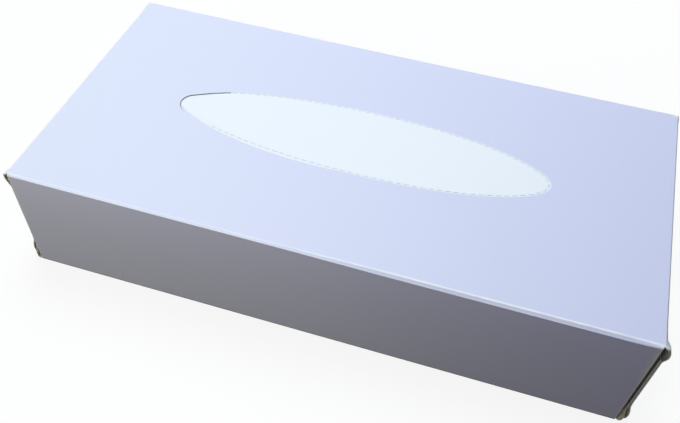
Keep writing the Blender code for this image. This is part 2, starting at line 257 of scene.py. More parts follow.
class Bench:
    """Edit-mode work on one piece, whose faces and edges are picked by place."""

    def __init__(self, piece: bpy.types.Object) -> None:
        """Keep the piece to work on."""
        self.piece = piece

    def __enter__(self) -> "Bench":
        """Select the piece alone, open it and deselect all of its mesh.

        Returns:
            The bench itself.
        """
        activate(self.piece)
        bpy.ops.object.mode_set(mode="EDIT")
        bpy.ops.mesh.select_all(action="DESELECT")
        return self

    def __exit__(self, *_details: object) -> None:
        """Close the piece."""
        bpy.ops.object.mode_set(mode="OBJECT")

    def pick_all(self) -> None:
        """Select the whole mesh."""
        bpy.ops.mesh.select_mode(type="FACE")
        bpy.ops.mesh.select_all(action="SELECT")

    def pick_faces(self, test: Test) -> None:
        """Select the faces that pass a test of their middle and normal.

        Args:
            test: Says of a middle and a normal whether the face is wanted.
        """
        bpy.ops.mesh.select_mode(type="FACE")
        bpy.ops.mesh.select_all(action="DESELECT")
        mesh = bmesh.from_edit_mesh(self.piece.data)
        for face in mesh.faces:
            if test(face.calc_center_median(), face.normal):
                face.select_set(True)
        bmesh.update_edit_mesh(self.piece.data)

    def pick_edges(self, test: Test) -> None:
        """Select the edges that pass a test of their middle and direction.

        Args:
            test: Says of a middle and a unit direction whether the edge is wanted.
        """
        bpy.ops.mesh.select_mode(type="EDGE")
        bpy.ops.mesh.select_all(action="DESELECT")
        mesh = bmesh.from_edit_mesh(self.piece.data)
        for edge in mesh.edges:
            start, stop = (vert.co for vert in edge.verts)
            if test((start + stop) / 2, (stop - start).normalized()):
                edge.select_set(True)
        bmesh.update_edit_mesh(self.piece.data)

    def divide(self, axis: str, places: Iterable[float], test: Test | None = None) -> None:
        """Cut the mesh, or the faces that pass a test, with planes square to an axis.

        Args:
            axis: Name of the axis.
            places: Where each plane crosses it.
            test: Says which faces are cut; without it all are.
        """
        normal = Vector([float(name == axis) for name in "XYZ"])
        for place in places:
            if test is None:
                self.pick_all()
            else:
                self.pick_faces(test)
            bpy.ops.mesh.bisect(plane_co=normal * place, plane_no=normal, threshold=EPSILON)

    def extrude(self, move: Vector) -> None:
        """Extrude the selection along a vector."""
        bpy.ops.mesh.extrude_region_move(TRANSFORM_OT_translate={"value": tuple(move)})


def start_block(name: str, size: Vector, centre: Vector) -> bpy.types.Object:
    """Add a block whose place and size are in its mesh.

    Args:
        name: Name of the new object.
        size: Its length, width and height.
        centre: Its middle.

    Returns:
        The block.
    """
    bpy.ops.object.select_all(action="DESELECT")
    bpy.ops.mesh.primitive_cube_add(size=1.0, location=centre, scale=size)
    block = bpy.context.object
    block.name = name
    bpy.ops.object.transform_apply(location=True, rotation=True, scale=True)
    return block


@dataclass
class Sleeve:
    """The four long panels with their creased folds and the dust flaps at their ends."""

    sizes: CartonSizes
    crease_flat: float = 28.0  # half angle of the back and lower folds' flat, in degrees
    flat_fade: Pair = (4.0, -6.0)  # degrees past the flat's end, none and full
    lean_end: float = 40.0  # angle of the fold's arc at which the leaning strip turns down
    flat_angle: float = 0.1  # degrees; edges between flatter faces are dissolved
    fold_steps: int = 12
    dust_steps: int = 6
    coarse_step: float = 5.0 * MM
    inner_columns: int = 8  # on each side, to this many of the spaces below
    inner_spaces: float = 10.5
    tab_step: float = 1.6 * MM
    edge_columns: tuple[float, ...] = (  # millimetres from the middle
        43.5, 45.0, 46.5, 47.8, 49.0, 50.0, 51.0, 51.8, 52.6, 53.3, 54.0, 54.5, 54.9,
        55.1, 55.3, 55.45, 55.6, 55.75, 55.9, 56.05, 56.2, 56.32, 56.44,
    )
    tab_x: Pair = (-73.5 * MM, -53.5 * MM)
    tab_y: Pair = (-11.0 * MM, 15.0 * MM)
    panel_rows: tuple[float, ...] = (8.0, 15.0, 22.0, 29.0, 36.0, 44.45)  # millimetres up
    end_stations: tuple[float, ...] = (0.15 * MM, 0.6 * MM, 2.0 * MM)  # in from the dust folds

    def make_block(self) -> bpy.types.Object:
        """Make the block with the back panel lapped over the glue flap.

        Returns:
            The block, with sharp long edges.
        """
        s = self.sizes
        size = Vector((2 * s.sleeve_end, s.width - s.board, s.height))
        block = start_block("folded_carton", size, Vector((0.0, -s.board / 2, s.height / 2)))
        with Bench(block) as bench:
            bench.divide("Z", [s.seam_height])
            bench.pick_faces(lambda middle, normal: normal.y > ALIGNED and middle.z > s.seam_height)
            bench.extrude(Vector((0.0, s.board, 0.0)))
            bench.pick_all()
            bpy.ops.mesh.dissolve_limited(angle_limit=math.radians(self.flat_angle))
        return block

    def is_long_fold(self, middle: Vector, along: Vector) -> bool:
        """Say whether an edge is one of the four long folds.

        Args:
            middle: Middle of the edge.
            along: Its unit direction.

        Returns:
            Whether it is.
        """
        s = self.sizes
        if abs(along.x) < ALIGNED:
            return False
        back = s.half_width - (s.board if middle.z < s.height / 2 else 0.0)
        at_side = abs(middle.y + s.half_width) < EPSILON or abs(middle.y - back) < EPSILON
        return at_side and min(middle.z, s.height - middle.z) < EPSILON

    def columns(self) -> list[float]:
        """Choose where the panels and flaps are divided across the carton.

        Returns:
            The places, from the front to the back.
        """
        root = self.sizes.root_half_width
        inner = [number * root / self.inner_spaces for number in range(self.inner_columns + 1)]
        edge = [place * MM for place in self.edge_columns]
        return sorted(both_ways([*inner, *edge, root]) | set(evenly(self.tab_y, self.tab_step)))

    def stations(self) -> list[float]:
        """Choose where the panels are divided along the carton.

        Returns:
            The places, from the left to the right.
        """
        s = self.sizes
        coarse = evenly((0.0, s.sleeve_end), self.coarse_step)[:-1]
        near_end = [s.sleeve_end - s.dust_fold - inset for inset in self.end_stations]
        angles = [math.radians(90.0 * step / self.dust_steps) for step in range(self.dust_steps)]
        in_fold = [s.sleeve_end - s.dust_fold * (1.0 - math.sin(angle)) for angle in angles]
        mirrored = both_ways([*coarse, *near_end, *in_fold])
        return sorted(mirrored | set(evenly(self.tab_x, self.tab_step)))

    def fold_and_divide(self, block: bpy.types.Object) -> None:
        """Round the long folds, then divide the panels and part the flap roots.

        Args:
            block: The block with sharp long edges.
        """
        s = self.sizes
        with Bench(block) as bench:
            bench.pick_edges(self.is_long_fold)
            bpy.ops.mesh.bevel(
                offset=s.long_fold, segments=self.fold_steps, profile=0.5, affect="EDGES",
                clamp_overlap=False,
            )
            bench.divide("X", self.stations())
            bench.divide("Y", self.columns())
            bench.divide("Z", [place * MM for place in self.panel_rows])
            roots = (s.board, s.height - s.board)
            bench.divide("Z", roots, lambda middle, normal: abs(normal.x) > ALIGNED)

    def crease_radius(self, angle: float) -> float:
        """Distance of the outside from the fold's axis, with the channel that the rule left.

        Args:
            angle: Degrees from the upright normal towards the level one.

        Returns:
            The radius at that angle.
        """
        radius = self.sizes.long_fold
        turned = abs(angle - 45.0)
        flat = radius * math.cos(math.radians(self.crease_flat)) / math.cos(math.radians(turned))
        none, full = self.flat_fade
        soft = smooth((self.crease_flat + none - turned) / (none - full))
        return radius + soft * min(flat - radius, 0.0)

    def front_profile(self, x: float, angle: float) -> Pair:
        """Section of the front fold: a leaning strip that turns sharply down.

        Args:
            x: Place along the carton.
            angle: Degrees along the arc of the plain fold, from the top panel down.

        Returns:
            The distance in from the front panel and the drop below the top panel.
        """
        s = self.sizes
        slope = s.lean_slope(x)
        lean = math.atan(slope)
        tangent = s.front_radius * math.tan((math.pi / 2 - lean) / 2)
        if angle <= self.lean_end:
            share = angle / self.lean_end
            inset = s.long_fold + (tangent * math.cos(lean) - s.long_fold) * share
            return inset, s.crease_rise + slope * (s.lean_width(x) - inset)
        turned = lean + (math.pi / 2 - lean) * (angle - self.lean_end) / (90.0 - self.lean_end)
        middle = s.crease_rise + slope * s.lean_width(x) + tangent
        inset = s.front_radius * (1.0 - math.sin(turned))
        return inset, middle - s.front_radius * math.cos(turned)

    def shape(self, block: bpy.types.Object) -> None:
        """Move the corners of the mesh into the creases, the dust folds and the sag.

        Args:
            block: The divided block.
        """
        for vert in block.data.vertices:
            vert.co = self.shaped(vert.co)
        block.data.update()

    def shaped(self, place: Vector) -> Vector:
        """Give the final place of one point of the block.

        Args:
            place: The point on the block, whose long folds are plain arcs.

        Returns:
            The point on the shaped sleeve.
        """
        s = self.sizes
        x, y, z = place
        at_top = z > s.height / 2
        outer = s.half_width - (s.board if y > 0.0 and not at_top else 0.0)
        side_y = math.copysign(1.0, y)
        from_axis_y = abs(y) - (outer - s.long_fold)
        from_axis_z = (z - s.height + s.long_fold) if at_top else (s.long_fold - z)
        in_arc = from_axis_y > EPSILON and from_axis_z > -EPSILON
        if in_arc:
            angle = math.degrees(math.atan2(from_axis_y, from_axis_z))
            scale = self.crease_radius(angle) / s.long_fold
            y = side_y * (outer - s.long_fold + from_axis_y * scale)
            new_z = from_axis_z * scale
            z = s.height - s.long_fold + new_z if at_top else s.long_fold - new_z
            if at_top and side_y < 0.0:
                inset, drop = self.front_profile(x, angle)
                fade = s.end_fade(x)
                y += fade * (inset - s.half_width - y)
                z += fade * (s.height - drop - z)
        from_start = abs(x) - (s.sleeve_end - s.dust_fold)
        if from_start > 0.0:
            sine = min(from_start / s.dust_fold, 1.0)
            narrowing = s.dust_fold * (1.0 - math.sqrt(1.0 - sine * sine))
            reach = max(0.0, abs(y) - s.root_half_width) / (s.half_width - s.root_half_width)
            y -= side_y * reach * narrowing
        on_panel = at_top and abs(y) < s.half_width - s.long_fold + EPSILON
        if on_panel or (at_top and in_arc and side_y > 0.0):
            z -= s.crease_drop(x, y)
        return Vector((x, y, z - s.top_drop(x, y) * z / s.height))

    def build(self) -> bpy.types.Object:
        """Make the sleeve up to its folds.

        Returns:
            The sleeve as a closed block, with the flap roots parted at both ends.
        """
        block = self.make_block()
        self.fold_and_divide(block)
        LOG.info("sleeve: %d faces", len(block.data.polygons))
        return block


@dataclass
class CoverCuts:
    """The perforated oval cover: dashes, the open thumb cut and the tab's score."""

    sizes: CartonSizes
    half_length: float = 70.4 * MM
    half_width: float = 17.0 * MM
    offset_x: float = -1.05 * MM
    offset_y: float = 1.1 * MM
    tip_share: float = 0.075
    lean_share: float = 0.04
    dash_length: float = 1.9 * MM
    nick_length: float = 1.0 * MM
    dash_width: float = 0.18 * MM
    dash_depth: float = 0.14 * MM
    dash_round_share: float = 0.45  # radius of a dash's ends, as a share of its width
    dash_round_steps: int = 2
    thumb_length: float = 15.8 * MM
    thumb_wide: float = 0.54 * MM
    thumb_narrow: float = 0.05 * MM
    arm_bow: float = 0.3 * MM
    closing_start: float = 0.4  # share of the thumb cut's path where it begins to close
    closing_share: float = 0.32  # share of the path over which it closes
    nose_radius: float = 5.3 * MM
    nose_inset: float = 5.15 * MM
    nose_shift: float = -0.8 * MM
    score_width: float = 0.6 * MM
    score_depth: float = 0.018 * MM
    score_floor_share: float = 0.02  # width of the score's floor, as a share of its top
    score_round_share: float = 0.125  # radius of its lower edges, as a share of its top
    score_round_steps: int = 3
    score_end_gap: float = 0.8 * MM
    tab_dip: float = 0.22 * MM
    tab_lead: float = 0.7  # how far towards the front the dip goes on, in half widths
    overrun: float = 0.5 * MM
    oval_steps: int = 720
    arm_steps: int = 14
    nose_steps: int = 32

    def oval_point(self, angle: float) -> Vector:
        """Give a point of the outline, an oval drawn in towards its tips.

        Args:
            angle: Angle about the cover's middle, in radians.

        Returns:
            The point on the flat top panel.
        """
        along = math.cos(angle)
        taper = 1.0 - self.tip_share * along**4 + self.lean_share * along
        x = self.offset_x + self.half_length * along
        y = self.offset_y + self.half_width * math.sin(angle) * taper
        return Vector((x, y, self.sizes.height))

    @property
    def tab_angle(self) -> float:
        """Half of the angle about the left tip that the thumb cut covers."""
        return math.acos(1.0 - self.thumb_length / self.half_length)

    def dash_places(self) -> list[tuple[Vector, float]]:
        """Space the dashes evenly between the ends of the thumb cut.

        Returns:
            The middle and the heading of each dash.
        """
        reach = math.pi - self.tab_angle
        path = [
            self.oval_point(-reach + 2.0 * reach * step / self.oval_steps)
            for step in range(self.oval_steps + 1)
        ]
        travelled = distances(path)
        count = math.floor(travelled[-1] / (self.dash_length + self.nick_length))
        spacing = travelled[-1] / count
        places = []
        step = 0
        for number in range(count):
            target = (number + 0.5) * spacing
            while travelled[step + 1] < target:
                step += 1
            run = path[step + 1] - path[step]
            share = (target - travelled[step]) / (travelled[step + 1] - travelled[step])
            places.append((path[step] + run * share, math.atan2(run.y, run.x)))
        return places

    def make_dashes(self) -> bpy.types.Object:
        """Model one dash of the cutting rule and copy it round the oval.

        Returns:
            All dashes as one cutter.
        """
        depth = self.dash_depth + self.overrun
        size = Vector((self.dash_length, self.dash_width, depth))
        dash = start_block("dash", size, Vector((0.0, 0.0, depth / 2 - self.dash_depth)))
        with Bench(dash) as bench:
            bench.pick_edges(lambda middle, along: abs(along.z) > ALIGNED)
            radius = self.dash_width * self.dash_round_share
            bpy.ops.mesh.bevel(offset=radius, segments=self.dash_round_steps, affect="EDGES")
        copies = []
        for place, heading in self.dash_places():
            copy = dash.copy()
            copy.data = dash.data.copy()
            copy.data.transform(Matrix.Translation(place) @ Matrix.Rotation(heading, 4, "Z"))
            bpy.context.scene.collection.objects.link(copy)
            copies.append(copy)
        bpy.data.objects.remove(dash)
        activate(*copies)
        bpy.ops.object.join()
        return copies[0]

    def nose_tangent(self, nose: Vector, end: Vector, turn: float) -> float:
        """Angle about the nose at which the straight from a cut's end meets it.

        Args:
            nose: Middle of the round nose.
            end: End of the cut.
            turn: 1 for the back end, -1 for the front end.

        Returns:
            The angle in radians.
        """
        run = end - nose
        return math.atan2(run.y, run.x) + turn * math.acos(self.nose_radius / run.length)

    def thumb_path(self) -> list[Vector]:
        """Trace the thumb cut along a straight, round the nose and back along a straight.

        Returns:
            Its points from the back end to the front end.
        """
        back = self.oval_point(math.pi - self.tab_angle)
        front = self.oval_point(math.pi + self.tab_angle)
        nose_x = self.offset_x - self.half_length + self.nose_inset
        nose = Vector((nose_x, self.offset_y + self.nose_shift, self.sizes.height))
        start = self.nose_tangent(nose, back, 1.0)
        stop = 2 * math.pi + self.nose_tangent(nose, front, -1.0)
        path = []
        for step in range(self.nose_steps + 1):
            angle = start + (stop - start) * step / self.nose_steps
            heading = Vector((math.cos(angle), math.sin(angle), 0.0))
            path.append(nose + heading * self.nose_radius)
        shares = [step / self.arm_steps for step in range(self.arm_steps)]
        run = (path[0] - back).normalized()
        outward = Vector((run.y, -run.x, 0.0)) * self.arm_bow
        first_arm = [
            back.lerp(path[0], share) + outward * math.sin(math.pi * share) for share in shares
        ]
        last_arm = [front.lerp(path[-1], share) for share in reversed(shares)]
        return first_arm + path + last_arm

    def make_thumb_cut(self) -> bpy.types.Object:
        """Bend a strip along the cut's path, wide at the back and closing past the tip.

        Returns:
            The cutter of the open cut.
        """
        s = self.sizes
        path = self.thumb_path()
        travelled = distances(path)
        below = Vector((0.0, 0.0, s.board))
        bpy.ops.object.select_all(action="DESELECT")
        bpy.ops.mesh.primitive_grid_add(x_subdivisions=len(path) - 1, y_subdivisions=1, size=1.0)
        cutter = bpy.context.object
        cutter.name = "thumb_blade"
        for vert in cutter.data.vertices:
            number = round((vert.co.x + 0.5) * (len(path) - 1))
            run = path[min(number + 1, len(path) - 1)] - path[max(number - 1, 0)]
            across = Vector((-run.y, run.x, 0.0)).normalized()
            share = travelled[number] / travelled[-1]
            closing = smooth((share - self.closing_start) / self.closing_share)
            width = between((self.thumb_wide, self.thumb_narrow), closing)
            vert.co = path[number] + across * width * vert.co.y - below
        with Bench(cutter) as bench:
            bench.pick_all()
            bench.extrude(Vector((0.0, 0.0, s.board + self.overrun)))
            bench.pick_all()
            bpy.ops.mesh.normals_make_consistent(inside=False)
        return cutter

    def make_score(self) -> bpy.types.Object:
        """Model the wedge that scores the tab's hinge between the ends of the thumb cut.

        Returns:
            The cutter of the score.
        """
        s = self.sizes
        near = self.oval_point(math.pi + self.tab_angle)
        far = self.oval_point(math.pi - self.tab_angle)
        depth = self.score_depth + self.overrun
        size = Vector((self.score_width, far.y - near.y - 2 * self.score_end_gap, depth))
        middle = Vector((near.x, (near.y + far.y) / 2, s.height + self.overrun - depth / 2))
        wedge = start_block("score_wedge", size, middle)
        slope = depth / self.score_depth
        for vert in wedge.data.vertices:
            spread = slope if vert.co.z > s.height else self.score_floor_share
            vert.co.x = near.x + (vert.co.x - near.x) * spread
        with Bench(wedge) as bench:
            bench.pick_edges(lambda middle, along: abs(along.y) > ALIGNED and middle.z < s.height)
            radius = self.score_width * self.score_round_share
            bpy.ops.mesh.bevel(offset=radius, segments=self.score_round_steps, affect="EDGES")
        return wedge

    def cut(self, block: bpy.types.Object) -> None:
        """Cut the flat top panel with each kind of blade.

        Args:
            block: The sleeve before its creases are shaped.
        """
        for cutter in (self.make_dashes(), self.make_thumb_cut(), self.make_score()):
            activate(block)
            modifier = block.modifiers.new(cutter.name, "BOOLEAN")
            modifier.operation = "DIFFERENCE"
            modifier.solver = "EXACT"
            modifier.object = cutter
            bpy.ops.object.modifier_apply(modifier=modifier.name)
            LOG.info("%s cut: %d faces", cutter.name, len(block.data.polygons))
            bpy.data.objects.remove(cutter)

    def dip(self, x: float, y: float) -> float:
        """How far the thumb tab has sunk behind its cut at a place.

        Args:
            x: Place along the carton.
            y: Place across it.

        Returns:
            The drop, largest at the tab's back edge.
        """
        hinge = self.oval_point(math.pi + self.tab_angle).x
        if x > hinge or not self.on_tab(x, y):
            return 0.0
        out = smooth((hinge - x) / self.thumb_length)
        across = (y - self.offset_y) / self.half_width
        return self.tab_dip * out * smooth(self.tab_lead + across)

    def on_tab(self, x: float, y: float) -> bool:
        """Say whether a place lies within the thumb cut's path.

        Args:
            x: Place along the carton.
            y: Place across it.

        Returns:
            Whether it does.
        """
        path = self.thumb_path()
        inside = False
        for here, there in zip(path, path[1:] + path[:1]):
            if (here.y > y) != (there.y > y):
                crossing = here.x + (y - here.y) * (there.x - here.x) / (there.y - here.y)
                inside = inside != (x < crossing)
        return inside


@dataclass
class EndFlap:
    """One glued end flap, worked out at the right end and turned half round for the left."""

    sizes: CartonSizes
    layer: Layer
    end: End
    root_inset: float = 0.15 * MM
    side_inset: float = 1.9 * MM
    skew: float = 0.3 * MM
    fold_settle: float = 2.2 * MM
    glue_line: float = 0.15 * MM
    free_width: float = 13.0 * MM  # strip along each side edge that is not glued
    lifts: Pair = (1.3 * MM, 0.95 * MM)  # at the loose and the snug side
    right_bulges: Pair = (0.95 * MM, 0.15 * MM)  # at the loose and the snug side
    left_bulges: Pair = (0.12 * MM, 0.62 * MM)  # in the same order
    bulge_width: float = 2.6 * MM
    worn_tip: float = 3.6 * MM  # worn print at the corners of the fold
    corner_round: float = 0.3 * MM
    round_length: float = 1.3 * MM
    top_bulge_length: float = 9.3 * MM
    bottom_bulge_length: float = 5.5 * MM
    bulge_fall: float = 3.8 * MM
    curls: Pair = (1.15 * MM, 1.6 * MM)  # of the corners, at the loose and the snug side
    curl_width: float = 9.0 * MM
    curl_start: float = 9.5 * MM
    curl_length: float = 5.5 * MM
    curl_return: float = 3.4 * MM  # height below which the curled corner comes back in
    curl_return_share: float = 0.62
    droop: float = 1.3 * MM  # how much further down the free corners reach
    snug_start: float = 1.5 * MM  # below the fold, where the snug side begins to stand off
    snug_length: float = 9.0 * MM
    free_end: float = 1.6 * MM  # free edge of the top flap above the bottom panel
    inner_stop: float = 8.0 * MM  # free edge of the bottom flap below the top panel
    fold_steps: int = 8
    reliefs: Pair = (9.0 * MM, 10.0 * MM)  # of the top and the bottom flap
    ripple: float = 0.015 * MM
    ripple_turns: Pair = (310.0, 140.0)  # radians a metre, across and down
    ripple_start: float = 6.0 * MM
    fine_reach: float = 6.0 * MM  # rows are close together this near the fold
    curl_reach: float = 13.0 * MM  # and fairly close this near the panel it folds from
    row_steps: Triple = (0.4 * MM, 0.8 * MM, 2.6 * MM)
    last_row: float = 0.2 * MM  # least distance from a row to the free edge
    probe: float = 0.05 * MM  # step along the board to find its direction
    fold_line: Triple = (0.5, 6.0, 8.0)  # wear, and its degrees and spread

    @property
    def is_top(self) -> bool:
        """Whether this flap folds down from the top panel."""
        return self.layer is Layer.TOP

    @property
    def length(self) -> float:
        """From the panel's outside to the flap's free edge."""
        return self.sizes.height - (self.free_end if self.is_top else self.inner_stop)

    @property
    def relief(self) -> float:
        """Length over which the flap narrows."""
        return self.reliefs[0 if self.is_top else 1]

    @property
    def fold_x(self) -> float:
        """Place of the board's middle just past the fold."""
        return self.sizes.length / 2 - self.sizes.board / 2

    def seat(self, reach: float) -> float:
        """Place of the board's middle where it is glued; the top flap lies on the bottom one.

        Args:
            reach: Distance from the fold.

        Returns:
            Its distance from the middle of the carton.
        """
        s = self.sizes
        inner = s.sleeve_end + self.glue_line + s.board / 2
        if not self.is_top:
            return inner
        rise = math.exp(-self.height_at(reach) / self.fold_settle)
        return inner + (self.fold_x - inner) * rise + s.board + self.glue_line

    def height_at(self, reach: float) -> float:
        """Height above the bottom panel at a distance from the fold."""
        return self.sizes.height - reach if self.is_top else reach

    def side(self, share: float, reach: float) -> float:
        """Width-wise place of a column at a distance from the fold.

        Args:
            share: Column as a share of the flap's half width, from -1 to 1.
            reach: Distance from the fold.

        Returns:
            The place across the carton.
        """
        narrowed = smooth(reach / self.relief)
        fold_half = self.sizes.half_width - self.root_inset
        half = fold_half - narrowed * (self.side_inset - self.root_inset)
        return share * half - narrowed * self.skew

    def near_side(self, y: float, width: float) -> float:
        """Weight of the strip of a width along each side edge, at a place across the flap."""
        past = abs(y) - self.sizes.half_width + self.side_inset
        return smooth(1.0 + past / width)

    def spring(self, y: float, reach: float) -> float:
        """How far the flap stands off its glued plane.

        Args:
            y: Place across the carton; the loose corner is at the low side.
            reach: Distance from the fold.

        Returns:
            The outward offset from the free sides and the curled corners.
        """
        number = 0 if y < 0.0 else 1
        lift = self.lifts[number] * self.near_side(y, self.free_width) ** 2
        if not self.is_top:
            return lift
        z = self.height_at(reach)
        low = smooth((self.curl_start - z) / self.curl_length)
        low *= 1.0 - self.curl_return_share * smooth(1.0 - z / self.curl_return)
        if number == 1:
            lift *= smooth((reach - self.snug_start) / self.snug_length)
        return lift + self.curls[number] * self.near_side(y, self.curl_width) * low

    def bulge(self, y: float, reach: float) -> float:
        """How far the crushed corner of the fold pushes the board outward.

        Args:
            y: Place across the carton; the loose corner is at the low side.
            reach: Distance from the fold.

        Returns:
            The outward offset.
        """
        length = self.top_bulge_length if self.is_top else self.bottom_bulge_length
        bulges = self.right_bulges if self.end is End.RIGHT else self.left_bulges
        height = bulges[0 if y < 0.0 else 1] * self.near_side(y, self.bulge_width)
        return height * smooth((length - reach) / self.bulge_fall)

    def centre(self, share: float, reach: float) -> Vector:
        """Middle of the board past the fold, at a column and a distance from the fold.

        Args:
            share: Column as a share of the flap's half width.
            reach: Distance from the fold.

        Returns:
            The point at the right end.
        """
        s = self.sizes
        radius = s.end_fold - s.board / 2
        along = reach - s.board / 2
        y = self.side(share, along)
        away = 1.0 - math.exp(-max(along, 0.0) / self.fold_settle)
        x = self.fold_x + self.bulge(y, reach)
        if along < radius:
            x -= radius - math.sqrt(max(radius**2 - (radius - along) ** 2, 0.0))
        across, down = self.ripple_turns
        wave = self.ripple * math.sin(y * across + reach * down)
        x += away * (self.seat(reach) - self.fold_x + self.spring(y, reach))
        x += wave * smooth(along / self.ripple_start)
        return Vector((x, y, self.height_at(reach) - self.sag(y, reach)))

    def sag(self, y: float, reach: float) -> float:
        """How much further down the free corners of the top flap reach.

        Args:
            y: Place across the carton.
            reach: Distance from the fold.

        Returns:
            The drop, none on the bottom flap.
        """
        if not self.is_top:
            return 0.0
        low = smooth((self.curl_start - self.height_at(reach)) / self.curl_start)
        return self.droop * self.near_side(y, self.curl_width) * low

    def place_for(self, share: float, reach: float, offset: float) -> Vector:
        """Place a point of the board beside the middle of its thickness.

        Args:
            share: Column as a share of the flap's half width.
            reach: Distance from the fold.
            offset: Distance from the board's middle, positive towards its printed side.

        Returns:
            The point at the right end.
        """
        here = self.centre(share, reach)
        run = self.centre(share, reach + self.probe) - self.centre(share, reach - self.probe)
        outward = 1.0 if self.is_top else -1.0
        across = Vector((-run.z, 0.0, run.x)).normalized() * outward
        return here + across * offset

    def rows(self) -> list[float]:
        """Choose where the flap is divided, close together where it curls.

        Returns:
            The height of each row.
        """
        s = self.sizes
        fine, middling, coarse = self.row_steps
        heights = []
        reach = s.end_fold
        while reach < self.length:
            z = self.height_at(reach)
            curled = z > s.height - self.curl_reach or z < self.curl_start
            reach += fine if reach < self.fine_reach else (middling if curled else coarse)
            if reach < self.length - self.last_row:
                heights.append(self.height_at(reach))
        return heights

    def grow(self, block: bpy.types.Object) -> None:
        """Extrude the flap out of its root, spin its fold and run it to its free edge.

        Args:
            block: The sleeve with parted flap roots.
        """
        s = self.sizes
        end = self.end.value
        down = -1.0 if self.is_top else 1.0
        root_z = s.height - s.board / 2 if self.is_top else s.board / 2
        start = s.sleeve_end + s.dust_clearance

        def is_root(middle: Vector, normal: Vector) -> bool:
            """Say whether a face is this flap's root."""
            at_end = abs(middle.x - end * s.sleeve_end) < EPSILON and abs(normal.x) > ALIGNED
            in_layer = abs(middle.z - root_z) < s.board / 2
            return at_end and in_layer and abs(middle.y) < s.root_half_width

        with Bench(block) as bench:
            bench.pick_faces(is_root)
            bench.extrude(Vector((end * s.dust_clearance, 0.0, 0.0)))
            axis_z = self.height_at(s.end_fold)
            bpy.ops.mesh.spin(
                steps=self.fold_steps, angle=math.radians(90.0), dupli=False,
                use_auto_merge=False, use_normal_flip=False,
                center=(end * start, 0.0, axis_z), axis=(0.0, end * down, 0.0),
            )
            bench.extrude(Vector((0.0, 0.0, down * (self.length - s.end_fold))))
            self.pick_own(block)
            bpy.ops.mesh.hide(unselected=True)
            bench.divide("Z", self.rows())
            bpy.ops.mesh.reveal(select=False)
            self.bend(block)

    def is_own(self, vert: bmesh.types.BMVert, tag: bmesh.types.BMLayerItem) -> bool:
        """Say whether a corner belongs to this flap, not yet bent."""
        past = vert.co.x * self.end.value - self.sizes.sleeve_end
        return vert[tag] == 0 and past > EPSILON * 10

    def pick_own(self, block: bpy.types.Object) -> None:
        """Select this flap's faces, which are not yet bent.

        Args:
            block: The piece, open in edit mode.
        """
        bpy.ops.mesh.select_all(action="DESELECT")
        mesh = bmesh.from_edit_mesh(block.data)
        tag = mesh.verts.layers.int["flap"]
        for face in mesh.faces:
            if all(self.is_own(vert, tag) for vert in face.verts):
                face.select_set(True)
        bmesh.update_edit_mesh(block.data)

    def bend(self, block: bpy.types.Object) -> None:
        """Move this flap's corners to where the glued and sprung board lies.

        Args:
            block: The piece, open in edit mode.
        """
        s = self.sizes
        mesh = bmesh.from_edit_mesh(block.data)
        tag = mesh.verts.layers.int["flap"]
        ply = mesh.verts.layers.float["ply"]
        crack = mesh.verts.layers.float["crack"]
        turn = self.end.value
        start = s.sleeve_end + s.dust_clearance
        for vert in mesh.verts:
            if not self.is_own(vert, tag):
                continue
            x, y, z = vert.co
            x, y = x * turn, y * turn
            share = y / s.root_half_width
            depth = s.height - z if self.is_top else z
            if depth >= s.end_fold - EPSILON:
                offset = x - self.fold_x
                reach = depth
                angle = 90.0
            else:
                out = max(x - start, 0.0)
                middle = s.end_fold - s.board / 2
                angle = math.degrees(math.atan2(out, s.end_fold - depth))
                offset = math.hypot(out, s.end_fold - depth) - middle
                reach = s.end_fold - middle * math.cos(math.radians(angle))
            place = self.place_for(share, reach, offset)
            if abs(share) > 1.0 - SHARE_EPSILON and offset > 0.0:
                round_off = self.corner_round * smooth(2.0 - depth / self.round_length)
                place.y -= math.copysign(round_off, share)
            if x <= start + EPSILON:
                root_y = self.side(share, 0.0)
                place = Vector((x + self.bulge(root_y, 0.0), root_y, z))
            vert.co = Vector((place.x * turn, place.y * turn, place.z))
            vert[tag] = self.layer.value
            vert[ply] = 0.5 + offset / s.board
            worn, at_angle, spread = self.fold_line
            line = worn * bell(angle, at_angle, spread) if depth < s.end_fold else 0.0
            tip = smooth((abs(y) - s.root_half_width + self.worn_tip) / self.worn_tip)
            vert[crack] = max(line, tip * smooth(2.0 - depth / self.worn_tip))
        bmesh.update_edit_mesh(block.data)


